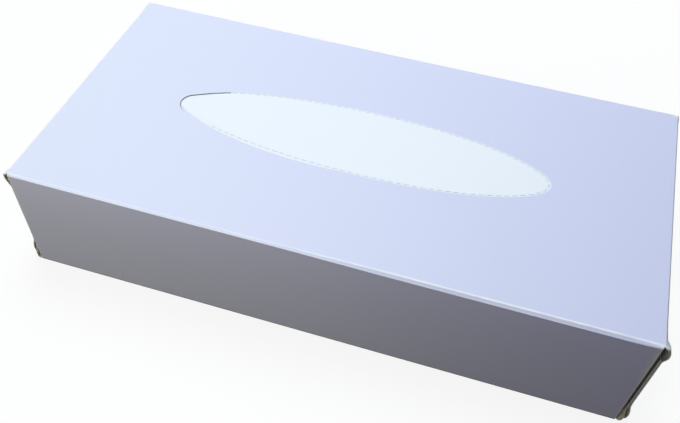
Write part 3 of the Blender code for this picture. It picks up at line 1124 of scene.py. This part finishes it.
@dataclass
class Carton:
    """The whole folded carton: sleeve, cover cuts, four end flaps and their finishes."""

    sizes: CartonSizes = field(default_factory=CartonSizes)
    strip_wear: float = 0.1  # of the leaning strip beside the front fold
    edge_wear: float = 0.6  # of the edge where it turns down
    edge_angle: float = 60.0  # degrees along the fold's arc at which the edge is fully worn
    shoulder_wear_and_highlight: Pair = (0.55, 1.15)  # at the left and at the right; worn print, raised at the right as a painted highlight
    corner_wear: float = 1.1 * MM  # length over which the wear of the top's corners runs out
    # Worn line on the dust folds, paler than the wear alone as a painted highlight.
    end_wear_and_highlight: float = 1.6
    end_line: float = 0.5  # middle of the worn line on the dust folds, as a share of the fold
    cover_reach: float = 25.0 * MM  # the cover's cuts lie within this of the middle line
    cut_depth: float = 1.0 * MM  # deeper than any cut in the top panel
    smooth_angle: float = 32.0  # degrees between faces, above which their edge stays sharp
    print_depth: float = 0.9  # share of the board's thickness above which a face is printed
    back_depth: float = 0.1  # and below which it is the board's inner side

    def build(self, materials: list[bpy.types.Material]) -> bpy.types.Object:
        """Build the piece and dress it.

        Args:
            materials: One material for each Surface, in its order.

        Returns:
            The finished piece, riding on the carton's body.
        """
        s = self.sizes
        sleeve = Sleeve(s)
        cover = CoverCuts(s)
        piece = sleeve.build()
        cover.cut(piece)
        for material in materials:
            piece.data.materials.append(material)
        self.mark_cuts(piece)
        sleeve.shape(piece)
        self.sink_tab(piece, cover)
        for layer in Layer:
            for end in End:
                EndFlap(s, layer, end).grow(piece)
                LOG.info("%s flap, %s: %d faces", layer.name, end.name, len(piece.data.polygons))
        self.mark_board(piece)
        activate(piece)
        bpy.ops.object.shade_smooth_by_angle(angle=math.radians(self.smooth_angle))
        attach(piece, BODY)
        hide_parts(NODE)
        return piece

    def mark_cuts(self, piece: bpy.types.Object) -> None:
        """Give the walls of the cuts and the raw edge at the seam their surface.

        Args:
            piece: The cut sleeve, still flat and square.
        """
        s = self.sizes
        mesh = bmesh.new()
        mesh.from_mesh(piece.data)
        ply = mesh.verts.layers.float.new("ply")
        crack = mesh.verts.layers.float.new("crack")
        mesh.verts.layers.int.new("flap")
        for vert in mesh.verts:
            vert[ply] = 1.0
            vert[crack] = self.fold_wear(vert.co)
            below = s.height - vert.co.z
            on_cover = abs(vert.co.x) < s.sleeve_end - s.board and abs(vert.co.y) < self.cover_reach
            if EPSILON < below < self.cut_depth and on_cover:
                vert[ply] = 1.0 - below / s.board
            at_lap = abs(vert.co.z - s.seam_height) < EPSILON
            if at_lap and abs(vert.co.y - s.half_width + s.board) < EPSILON:
                vert[ply] = 0.0
        for face in mesh.faces:
            is_cut = any(vert[ply] < self.print_depth for vert in face.verts)
            on_back = face.calc_center_median().y > self.cover_reach and face.normal.y > 0.5
            surface = Surface.EDGE if is_cut and not on_back else Surface.PRINT
            face.material_index = surface.value
        mesh.to_mesh(piece.data)
        mesh.free()

    def fold_wear(self, place: Vector) -> float:
        """Work out how far the print's coating is bared along the creases, with a painted highlight
        laid on the front fold and the dust folds.

        Args:
            place: A point of the block, before its creases are shaped.

        Returns:
            The weight of the wear and painted highlight there, which may pass 1.
        """
        s = self.sizes
        at_top = place.z > s.height / 2
        from_y = abs(place.y) - (s.half_width - s.long_fold)
        from_z = (place.z - s.height + s.long_fold) if at_top else (s.long_fold - place.z)
        wear = 0.0
        inset = s.half_width - abs(place.y)
        at_front = at_top and place.y < 0.0
        if at_front and from_y > -EPSILON and from_z > -EPSILON:
            angle = math.degrees(math.atan2(from_y, from_z))
            wear = between((self.strip_wear, self.edge_wear), smooth(angle / self.edge_angle))
        elif at_front and from_z > 0.0:
            width = s.lean_width(place.x)
            worn = between(self.shoulder_wear_and_highlight, s.lean_share(place.x))
            line = worn * bell(inset, width + s.shoulder_step, s.shoulder_spread)
            wear = line + self.strip_wear * smooth((width - inset) / s.lean_softness)
        from_end = abs(place.x) - (s.sleeve_end - s.dust_fold)
        if from_y > 0.0:
            half = self.end_line * s.dust_fold
            wear = max(wear, self.end_wear_and_highlight * bell(from_end, half, half))
        if at_top:
            near_end = smooth(1.0 + from_end / self.corner_wear)
            wear = max(wear, near_end * smooth(2.0 - inset / self.corner_wear))
        return wear

    def sink_tab(self, piece: bpy.types.Object, cover: CoverCuts) -> None:
        """Lower the thumb tab a little behind its cut.

        Args:
            piece: The shaped sleeve.
            cover: The cover whose tab sinks.
        """
        s = self.sizes
        for vert in piece.data.vertices:
            if vert.co.z > s.height - self.cut_depth:
                share = smooth(1.0 - (s.height - vert.co.z) / s.board)
                vert.co.z -= share * cover.dip(vert.co.x, vert.co.y)
        piece.data.update()

    def mark_board(self, piece: bpy.types.Object) -> None:
        """Give the flaps' edges and inner sides their surface.

        Args:
            piece: The sleeve with its flaps bent.
        """
        mesh = bmesh.new()
        mesh.from_mesh(piece.data)
        ply = mesh.verts.layers.float["ply"]
        tag = mesh.verts.layers.int["flap"]
        for face in mesh.faces:
            if not any(vert[tag] for vert in face.verts):
                continue
            depths = [vert[ply] for vert in face.verts if vert[tag]]
            surface = Surface.EDGE
            if min(depths) > self.print_depth:
                surface = Surface.PRINT
            elif max(depths) < self.back_depth:
                surface = Surface.BACK
            face.material_index = surface.value
        mesh.to_mesh(piece.data)
        mesh.free()


class NodeSheet:
    """A node tree, with nodes added and linked in short calls."""

    def __init__(self, tree: bpy.types.NodeTree) -> None:
        """Keep the tree to work on."""
        self.tree = tree

    def add(self, kind: str, **settings: object) -> bpy.types.Node:
        """Add a node and set its properties.

        Args:
            kind: The node's type.
            settings: Its properties by name.

        Returns:
            The node.
        """
        node = self.tree.nodes.new(kind)
        for name, value in settings.items():
            setattr(node, name, value)
        return node

    def feed(self, target: bpy.types.NodeSocket, value: object) -> None:
        """Link a socket into another, or set its value.

        Args:
            target: The socket to feed.
            value: A socket, a number or a colour.
        """
        if isinstance(value, bpy.types.NodeSocket):
            self.tree.links.new(value, target)
        elif isinstance(value, tuple):
            target.default_value = (*value, 1.0)[: len(target.default_value)]
        else:
            target.default_value = value

    def fed(self, kind: str, values: dict[object, object], **settings: object) -> bpy.types.Node:
        """Add a node with its inputs fed.

        Args:
            kind: The node's type.
            values: What feeds each input, by the input's name or number.
            settings: The node's properties by name.

        Returns:
            The node.
        """
        node = self.add(kind, **settings)
        for key, value in values.items():
            self.feed(node.inputs[key], value)
        return node

    def maths(self, operation: str, *values: object, clamp: bool = False) -> bpy.types.NodeSocket:
        """Work out one sum on sockets and numbers.

        Args:
            operation: Name of the sum.
            values: What it works on.
            clamp: Whether its result is held between 0 and 1.

        Returns:
            The result.
        """
        settings = {"operation": operation, "use_clamp": clamp}
        return self.fed("ShaderNodeMath", dict(enumerate(values)), **settings).outputs[0]

    def times(self, first: object, *others: object) -> bpy.types.NodeSocket:
        """Multiply sockets and numbers."""
        for other in others:
            first = self.maths("MULTIPLY", first, other)
        return first

    def line(self, value: object, slope: object, start: object) -> bpy.types.NodeSocket:
        """Multiply a value by a slope and add the start."""
        return self.maths("MULTIPLY_ADD", value, slope, start)

    def seen(self) -> bpy.types.NodeSocket:
        """Say which rays show the surroundings: those seen straight, in gloss or through glass."""
        rays = self.add("ShaderNodeLightPath").outputs
        shown = self.maths("MAXIMUM", rays["Is Camera Ray"], rays["Is Glossy Ray"])
        return self.maths("MAXIMUM", shown, rays["Is Transmission Ray"])

    def pick(self, share: object, first: object, second: object) -> bpy.types.NodeSocket:
        """Mix two shaders by a share."""
        return self.fed("ShaderNodeMixShader", {0: share, 1: first, 2: second}).outputs[0]


class MaterialSheet(NodeSheet):
    """Nodes of one material, whose patterns lie on the piece's own place."""

    def __init__(self, name: str) -> None:
        """Start a material with one Principled shader.

        Args:
            name: Name of the material.
        """
        self.material = bpy.data.materials.new(name)
        self.material.use_nodes = True
        super().__init__(self.material.node_tree)
        self.shader = self.tree.nodes["Principled BSDF"]
        self.output = self.tree.nodes["Material Output"]
        self.place = self.add("ShaderNodeTexCoord").outputs["Object"]
        self.x, self.y, self.z = self.fed("ShaderNodeSeparateXYZ", {0: self.place}).outputs

    def span(
        self, value: bpy.types.NodeSocket, start: float, stop: float,
        low: float = 0.0, high: float = 1.0, kind: str = "LINEAR",
    ) -> bpy.types.NodeSocket:
        """Map a range of a value to another range, held at its ends.

        Args:
            value: The value.
            start: Start of its range, which may lie above the stop.
            stop: End of its range.
            low: Result at the start.
            high: Result at the stop.
            kind: LINEAR, or SMOOTHSTEP for level ends.

        Returns:
            The mapped value.
        """
        ends = {"From Min": start, "From Max": stop, "To Min": low, "To Max": high}
        node = self.fed("ShaderNodeMapRange", {"Value": value, **ends}, interpolation_type=kind)
        return node.outputs["Result"]

    def within(self, value: bpy.types.NodeSocket, edge: float, depths: Pair) -> bpy.types.NodeSocket:
        """Mask what lies near an edge: all to its first depth, and nothing past its second."""
        return self.span(value, edge - depths[1], edge - depths[0])

    def tint(self, colour: bpy.types.NodeSocket, by: Colour, share: object) -> bpy.types.NodeSocket:
        """Multiply a colour by another, as far as a share says."""
        tinted = self.fed("ShaderNodeVectorMath", {0: colour, 1: by}, operation="MULTIPLY")
        return self.mix(share, colour, tinted.outputs["Vector"])

    def mix(self, share: object, first: object, second: object) -> bpy.types.NodeSocket:
        """Mix two colours by a share; the sockets of colours have numbers 6, 7 and 2."""
        return self.fed("ShaderNodeMix", {0: share, 6: first, 7: second}, data_type="RGBA").outputs[2]

    def noise(self, scale: float, detail: float = 2.0, stretch: tuple = ()) -> bpy.types.NodeSocket:
        """Add noise on the piece's own place.

        Args:
            scale: Waves in a metre.
            detail: How many finer layers it has.
            stretch: Share of the scale along each axis, where it isn't 1.

        Returns:
            The noise, from 0 to 1.
        """
        source = self.place
        if stretch:
            turned = {"Vector": source, "Scale": stretch}
            source = self.fed("ShaderNodeMapping", turned).outputs["Vector"]
        values = {"Scale": scale, "Detail": detail, "Vector": source}
        return self.fed("ShaderNodeTexNoise", values).outputs["Fac"]

    def attribute(self, name: str) -> bpy.types.NodeSocket:
        """Read a number kept on the mesh."""
        return self.add("ShaderNodeAttribute", attribute_name=name).outputs["Fac"]

    def bump(self, height: bpy.types.NodeSocket, distance: float, strength: float) -> None:
        """Give the shader a bump from a height field."""
        values = {"Distance": distance, "Strength": strength, "Height": height}
        self.set_shader("Normal", self.fed("ShaderNodeBump", values).outputs["Normal"])

    def set_shader(self, name: str, value: object) -> None:
        """Feed one input of the shader."""
        self.feed(self.shader.inputs[name], value)


@dataclass(frozen=True)
class PrintedBoard:
    """Coated white board, printed lilac, with a bare white oval round the cover."""

    pale: Colour = (0.74, 0.775, 0.925)  # the print at the left end, painted paler there as painted light
    deep: Colour = (0.64, 0.662, 0.87)  # and at the right end, painted deeper there as painted shade
    bare: Colour = (0.86, 0.893, 0.958)
    cloud_scale: float = 14.0
    cloud_share: float = 0.06
    lit: Colour = (1.15, 1.15, 1.215)  # painted light: how much paler the long sides are under the top folds
    lit_power: float = 2.4
    dim: Colour = (0.91, 0.89, 0.935)  # painted shade: how much deeper the long sides are at the right end
    side_depths: Pair = (0.1 * MM, 0.35 * MM)
    cracked_and_highlight: Colour = (0.95, 0.965, 1.0)  # bared coating on the folds, also a painted highlight on the front fold's shoulder and the dust folds
    cracked_corner: Colour = (0.88, 0.88, 0.81)
    corner_depths: Pair = (0.0, 2.0 * MM)
    crack_scale: float = 420.0
    crack_stretch: Triple = (0.35, 1.0, 1.0)
    crack_range: Pair = (0.36, 0.62)
    crack_shares: Pair = (0.55, 0.4)  # the least wear, and what the broken pattern adds
    painted_end_shade: Colour = (0.30, 0.32, 0.38)  # painted shade on the fold at the right end of the top, which turns away from the light
    end_shade_reach: Pair = (0.2 * MM, 0.6 * MM)
    end_shade_depths: Pair = (1.2 * MM, 2.4 * MM)
    painted_foot_shade: Colour = (0.34, 0.35, 0.36)  # painted shade along the foot of the long sides, where they meet the floor
    foot_shade_heights: Pair = (0.7 * MM, 1.15 * MM)
    half_length: float = 70.9 * MM
    half_width: float = 17.5 * MM
    offset_x: float = -0.7 * MM
    offset_y: float = 1.1 * MM
    tip_share: float = 0.075
    lean_share: float = 0.04
    swell_share: float = 0.26  # how much fuller the oval is at its front left
    arm_slope: float = 0.476  # rise of the oval's straight edge along the thumb cut
    arm_height: float = 37.85 * MM  # height of that line above the middle of the top panel
    edge_softness: float = 0.012
    top_depth: float = 1.0 * MM  # the top panel's print reaches this far down
    gloss: float = 0.18
    gloss_roughness: float = 0.40
    fibre_roughness: float = 0.08
    crack_roughness: float = 0.12
    fibre_scale: float = 900.0
    grain: float = 0.004 * MM
    grain_strength: float = 0.5

    def oval(self, sheet: MaterialSheet, sizes: CartonSizes) -> bpy.types.NodeSocket:
        """Mask the bare oval on the top panel.

        Args:
            sheet: The material's nodes.
            sizes: Sizes of the carton that carries the print.

        Returns:
            The mask.
        """
        along = sheet.line(sheet.x, 1.0 / self.half_length, -self.offset_x / self.half_length)
        across = sheet.line(sheet.y, 1.0 / self.half_width, -self.offset_y / self.half_width)
        square = sheet.times(along, along)
        lean = sheet.line(along, self.lean_share, 1.0)
        taper = sheet.line(sheet.times(square, square), -self.tip_share, lean)
        left = sheet.maths("MULTIPLY", along, -1.0, clamp=True)
        at_front = sheet.maths("LESS_THAN", across, 0.0)
        swell = sheet.times(left, sheet.maths("SUBTRACT", 1.0, left), at_front)
        tapered = sheet.maths("DIVIDE", across, sheet.line(swell, self.swell_share, taper))
        total = sheet.line(tapered, tapered, square)
        inside = sheet.span(total, 1.0 + self.edge_softness, 1.0 - self.edge_softness)
        arm = sheet.line(sheet.x, self.arm_slope, self.arm_height)
        below = sheet.maths("GREATER_THAN", arm, sheet.y)
        at_top = sheet.maths("GREATER_THAN", sheet.z, sizes.height - self.top_depth)
        return sheet.times(inside, below, at_top)

    def lilac(self, sheet: MaterialSheet, sizes: CartonSizes) -> bpy.types.NodeSocket:
        """Colour the print, with painted light and shade from end to end and up the long sides.

        Args:
            sheet: The material's nodes.
            sizes: Sizes of the carton that carries the print.

        Returns:
            The colour of the print, with its painted light and shade.
        """
        half = sizes.length / 2
        # Painted light and shade along the print, paler at the left end and deeper at the right.
        start = sheet.maths("SUBTRACT", sheet.span(sheet.x, -half, half), self.cloud_share / 2)
        cloud = sheet.noise(self.cloud_scale, 3.0)
        shifted = sheet.maths("MULTIPLY_ADD", cloud, self.cloud_share, start, clamp=True)
        colour = sheet.mix(shifted, self.pale, self.deep)
        aside = sheet.maths("ABSOLUTE", sheet.y)
        on_side = sheet.within(aside, sizes.half_width, self.side_depths)
        at_right = sheet.span(sheet.x, 0.0, half)
        colour = sheet.tint(colour, self.dim, sheet.times(at_right, on_side))
        rise = sheet.maths("POWER", sheet.span(sheet.z, 0.0, sizes.height), self.lit_power)
        return sheet.tint(colour, self.lit, sheet.times(rise, on_side))

    def build(self, sizes: CartonSizes) -> bpy.types.Material:
        """Make the material.

        Args:
            sizes: Sizes of the carton that carries the print.

        Returns:
            The printed board's material.
        """
        sheet = MaterialSheet("printed_board")
        colour = sheet.mix(self.oval(sheet, sizes), self.lilac(sheet, sizes), self.bare)
        out = sheet.maths("ABSOLUTE", sheet.x)
        # Painted shade on the top's fold at the right end.
        on_fold = sheet.within(out, sizes.length / 2, self.end_shade_reach)
        above = sheet.within(sheet.z, sizes.height, self.end_shade_depths)
        at_right = sheet.maths("GREATER_THAN", sheet.x, 0.0)
        colour = sheet.mix(sheet.times(on_fold, above, at_right), colour, self.painted_end_shade)
        # Bared coating along the folds, with a painted highlight on the front fold's shoulder and the
        # dust folds.
        pattern = sheet.noise(self.crack_scale, 4.0, self.crack_stretch)
        least, added = self.crack_shares
        broken = sheet.line(sheet.span(pattern, *self.crack_range), added, least)
        amount = sheet.maths("MULTIPLY", sheet.attribute("crack"), broken, clamp=True)
        at_corner = sheet.within(out, sizes.sleeve_end, self.corner_depths)
        colour = sheet.mix(amount, colour, sheet.mix(at_corner, self.cracked_and_highlight, self.cracked_corner))
        # Painted shade along the foot of the long sides.
        at_side = sheet.within(sheet.maths("ABSOLUTE", sheet.y), sizes.half_width, self.foot_shade_heights)
        at_foot = sheet.span(sheet.z, *reversed(self.foot_shade_heights))
        sheet.set_shader("Base Color", sheet.mix(sheet.times(at_foot, at_side), colour, self.painted_foot_shade))
        fibre = sheet.noise(self.fibre_scale, 4.0)
        rough = sheet.line(fibre, self.fibre_roughness, self.gloss_roughness)
        sheet.set_shader("Roughness", sheet.line(amount, self.crack_roughness, rough))
        sheet.set_shader("Specular IOR Level", self.gloss)
        sheet.bump(fibre, self.grain, self.grain_strength)
        return sheet.material


@dataclass(frozen=True)
class RawEdge:
    """Cut edge of the board: white coating over a grey-brown core of fibres."""

    coating: Colour = (0.80, 0.82, 0.82)
    coat_range: Pair = (0.98, 1.1)  # depth in the board where the coating starts and is full
    ragged: float = 0.3
    ragged_scale: float = 1300.0
    core: Colour = (0.84, 0.84, 0.74)
    dark_core: Colour = (0.58, 0.59, 0.52)
    fibre_scale: float = 2600.0
    fibre_range: Pair = (0.35, 0.65)
    cut_painted_shade: Colour = (0.34, 0.375, 0.42)  # painted shade in the cuts of the cover, which stands for their dark depth
    cut_reach: float = 91.36 * MM  # those cuts lie within this of the middle
    tip: Colour = (0.80, 0.82, 0.72)  # paler, frayed fibres at the top and the foot
    tip_height: float = 1.5 * MM
    rough: float = 0.86
    fuzz: float = 0.08 * MM
    fuzz_strength: float = 0.7

    def build(self, sizes: CartonSizes) -> bpy.types.Material:
        """Make the material.

        Args:
            sizes: Sizes of the carton whose board is cut.

        Returns:
            The raw edge's material.
        """
        sheet = MaterialSheet("raw_edge")
        fibre = sheet.noise(self.fibre_scale, 5.0)
        core = sheet.mix(sheet.span(fibre, *self.fibre_range), self.core, self.dark_core)
        ply = sheet.line(sheet.noise(self.ragged_scale, 3.0), self.ragged, sheet.attribute("ply"))
        # Painted shade in the cover's cuts.
        in_panel = sheet.maths("LESS_THAN", sheet.maths("ABSOLUTE", sheet.x), self.cut_reach)
        core = sheet.mix(in_panel, core, self.cut_painted_shade)
        high = sheet.within(sheet.z, sizes.height, (sizes.board, self.tip_height))
        high = sheet.times(high, sheet.maths("SUBTRACT", 1.0, in_panel))
        at_tip = sheet.maths("MAXIMUM", high, sheet.span(sheet.z, self.tip_height, sizes.board))
        core = sheet.mix(at_tip, core, self.tip)
        colour = sheet.mix(sheet.span(ply, *self.coat_range), core, self.coating)
        sheet.set_shader("Base Color", colour)
        sheet.set_shader("Roughness", self.rough)
        sheet.bump(fibre, self.fuzz, self.fuzz_strength)
        return sheet.material


@dataclass(frozen=True)
class BoardBack:
    """Uncoated inner side of the board, grey-brown with long fibres."""

    light: Colour = (0.46, 0.445, 0.41)
    dark: Colour = (0.26, 0.255, 0.24)
    fibre_scale: float = 700.0
    fibre_stretch: Triple = (1.0, 0.3, 1.6)
    fibre_range: Pair = (0.36, 0.66)
    tan: Colour = (0.95, 0.86, 0.66)  # the board's tan on the lower part of the flaps, painted pale as painted light against the darker board above
    tan_light_heights: Pair = (9.0 * MM, 4.5 * MM)
    worn: Colour = (0.95, 0.93, 0.80)
    worn_scale: float = 500.0
    worn_range: Pair = (0.4, 0.6)
    rough: float = 0.9
    tooth: float = 0.03 * MM
    tooth_strength: float = 0.6

    def build(self) -> bpy.types.Material:
        """Make the material.

        Returns:
            The material of the board's inner side.
        """
        sheet = MaterialSheet("board_back")
        fibre = sheet.noise(self.fibre_scale, 6.0, self.fibre_stretch)
        colour = sheet.mix(sheet.span(fibre, *self.fibre_range), self.light, self.dark)
        # Painted light: the lower flaps turn pale tan.
        colour = sheet.mix(sheet.span(sheet.z, *self.tan_light_heights), colour, self.tan)
        broken = sheet.span(sheet.noise(self.worn_scale, 4.0), *self.worn_range)
        bared = sheet.maths("MULTIPLY", sheet.attribute("crack"), broken, clamp=True)
        sheet.set_shader("Base Color", sheet.mix(bared, colour, self.worn))
        sheet.set_shader("Roughness", self.rough)
        sheet.bump(fibre, self.tooth, self.tooth_strength)
        return sheet.material


@dataclass(frozen=True)
class Softbox:
    """A rectangular lamp with its place, aim, size, power, colour and spread."""

    name: str
    place: Triple
    aim: Triple
    width: float
    height: float
    power: float  # watts
    colour: Colour
    spread: float = 180.0  # degrees

    def build(self) -> bpy.types.Object:
        """Hang the lamp and turn it to its aim.

        Returns:
            The lamp.
        """
        lamp = bpy.data.lights.new(self.name, "AREA")
        lamp.shape = "RECTANGLE"
        lamp.size, lamp.size_y = self.width, self.height
        lamp.energy = self.power
        lamp.color = self.colour
        lamp.spread = math.radians(self.spread)
        held = bpy.data.objects.new(self.name, lamp)
        held.location = self.place
        heading = Vector(self.aim) - Vector(self.place)
        held.rotation_mode = "QUATERNION"
        held.rotation_quaternion = heading.to_track_quat("-Z", "Y")
        bpy.context.scene.collection.objects.link(held)
        return held


@dataclass
class Studio:
    """Pale floor, plain soft lamps, white surroundings and the camera."""

    floor_size: float = 6.0
    floor_drop: float = 0.1 * MM
    floor_white: float = 0.88  # strength of the floor's own white beside the carton
    floor_seen: float = 0.12  # colour of the part that takes the shadow
    floor_grey: float = 0.02  # what the floor throws back at the carton
    floor_rough: float = 0.9
    fade_start: float = 0.15  # from the middle, where the floor's white begins to rise
    fade_stop: float = 1.2  # and where it is full
    ambient: Colour = (0.036, 0.036, 0.042)
    overhead: Softbox = Softbox(
        "overhead", (-0.12, 0.27, 0.86), (0.0, 0.0, 0.04), 0.55, 0.6, 7.75, (0.88, 0.955, 1.0)
    )
    front_left: Softbox = Softbox(
        "front_left", (-0.20, -0.38, 0.25), (-0.05, 0.0, 0.055), 0.20, 0.16, 0.148,
        (1.0, 0.955, 0.83), 86.0,
    )
    right_fill: Softbox = Softbox(
        "right_fill", (0.75, 0.13, 0.13), (0.11, 0.0, 0.02), 0.4, 0.3, 0.75, (0.95, 0.97, 1.0)
    )
    eye: Triple = (0.0484037, -0.2049018, 0.2302908)  # the camera's place, then its axes
    eye_right: Triple = (0.9526096, 0.3026836, 0.0302913)
    eye_up: Triple = (-0.2582303, 0.7520136, 0.6064591)
    eye_back: Triple = (0.1607858, -0.5855409, 0.7945375)
    sensor_width: float = 36.0  # millimetres, as is the lens
    lens: float = 39.541
    shift_x: float = 0.01135
    shift_y: float = 0.11676

    def make_floor(self) -> None:
        """Lay the floor, pale where it is seen and nearly black to the carton."""
        bpy.ops.object.select_all(action="DESELECT")
        bpy.ops.mesh.primitive_plane_add(size=self.floor_size, location=(0.0, 0.0, -self.floor_drop))
        floor = bpy.context.object
        floor.name = "pale_floor"
        sheet = MaterialSheet("pale_floor")
        sheet.set_shader("Base Color", (self.floor_grey,) * 3)
        sheet.set_shader("Roughness", self.floor_rough)
        length = sheet.fed("ShaderNodeVectorMath", {0: sheet.place}, operation="LENGTH")
        fade = sheet.span(
            length.outputs["Value"], self.fade_start, self.fade_stop, self.floor_white, 1.0,
            kind="SMOOTHSTEP",
        )
        glow = sheet.fed("ShaderNodeEmission", {"Strength": fade})
        matt = sheet.fed("ShaderNodeBsdfDiffuse", {"Color": (self.floor_seen,) * 3})
        both = sheet.fed("ShaderNodeAddShader", {0: matt.outputs[0], 1: glow.outputs[0]})
        shown = sheet.pick(sheet.seen(), sheet.shader.outputs[0], both.outputs[0])
        sheet.feed(sheet.output.inputs["Surface"], shown)
        floor.data.materials.append(sheet.material)
        floor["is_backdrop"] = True

    def make_world(self) -> None:
        """Surround the scene with white that lights it only a little."""
        world = bpy.data.worlds.new("surroundings")
        bpy.context.scene.world = world
        world.use_nodes = True
        world.node_tree.nodes.clear()
        sheet = NodeSheet(world.node_tree)
        dim = sheet.fed("ShaderNodeBackground", {"Color": self.ambient})
        white = sheet.fed("ShaderNodeBackground", {"Color": (1.0, 1.0, 1.0)})
        shown = sheet.pick(sheet.seen(), dim.outputs[0], white.outputs[0])
        sheet.fed("ShaderNodeOutputWorld", {"Surface": shown})

    def make_camera(self) -> None:
        """Set the camera at the photograph's place."""
        data = bpy.data.cameras.new("camera")
        data.sensor_width = self.sensor_width
        data.lens = self.lens
        data.shift_x, data.shift_y = self.shift_x, self.shift_y
        camera = bpy.data.objects.new("camera", data)
        turn = Matrix((self.eye_right, self.eye_up, self.eye_back)).transposed()
        camera.matrix_world = Matrix.Translation(self.eye) @ turn.to_4x4()
        bpy.context.scene.collection.objects.link(camera)
        bpy.context.scene.camera = camera

    def build(self) -> None:
        """Set up the floor, surroundings, lamps and camera."""
        self.make_floor()
        self.make_world()
        for lamp in (self.overhead, self.front_left, self.right_fill):
            lamp.build()
        self.make_camera()
        bpy.context.scene.view_settings.view_transform = "Standard"


def write_sizes(packed: tuple[Vector, Vector]) -> None:
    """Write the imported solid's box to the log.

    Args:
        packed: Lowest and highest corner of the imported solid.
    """
    LOG.info("packed %s", [round(value / MM, 2) for value in packed[1] - packed[0]])


def main() -> None:
    """Build the carton and its studio in order."""
    logging.basicConfig(level=logging.INFO, format="%(message)s")
    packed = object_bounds()
    carton = Carton()
    printed = PrintedBoard().build(carton.sizes)
    materials = [printed, RawEdge().build(carton.sizes), BoardBack().build()]
    piece = carton.build(materials)
    LOG.info("piece %s: %d faces", piece.name, len(piece.data.polygons))
    Studio().build()
    write_sizes(packed)


if __name__ == "__main__":
    main()
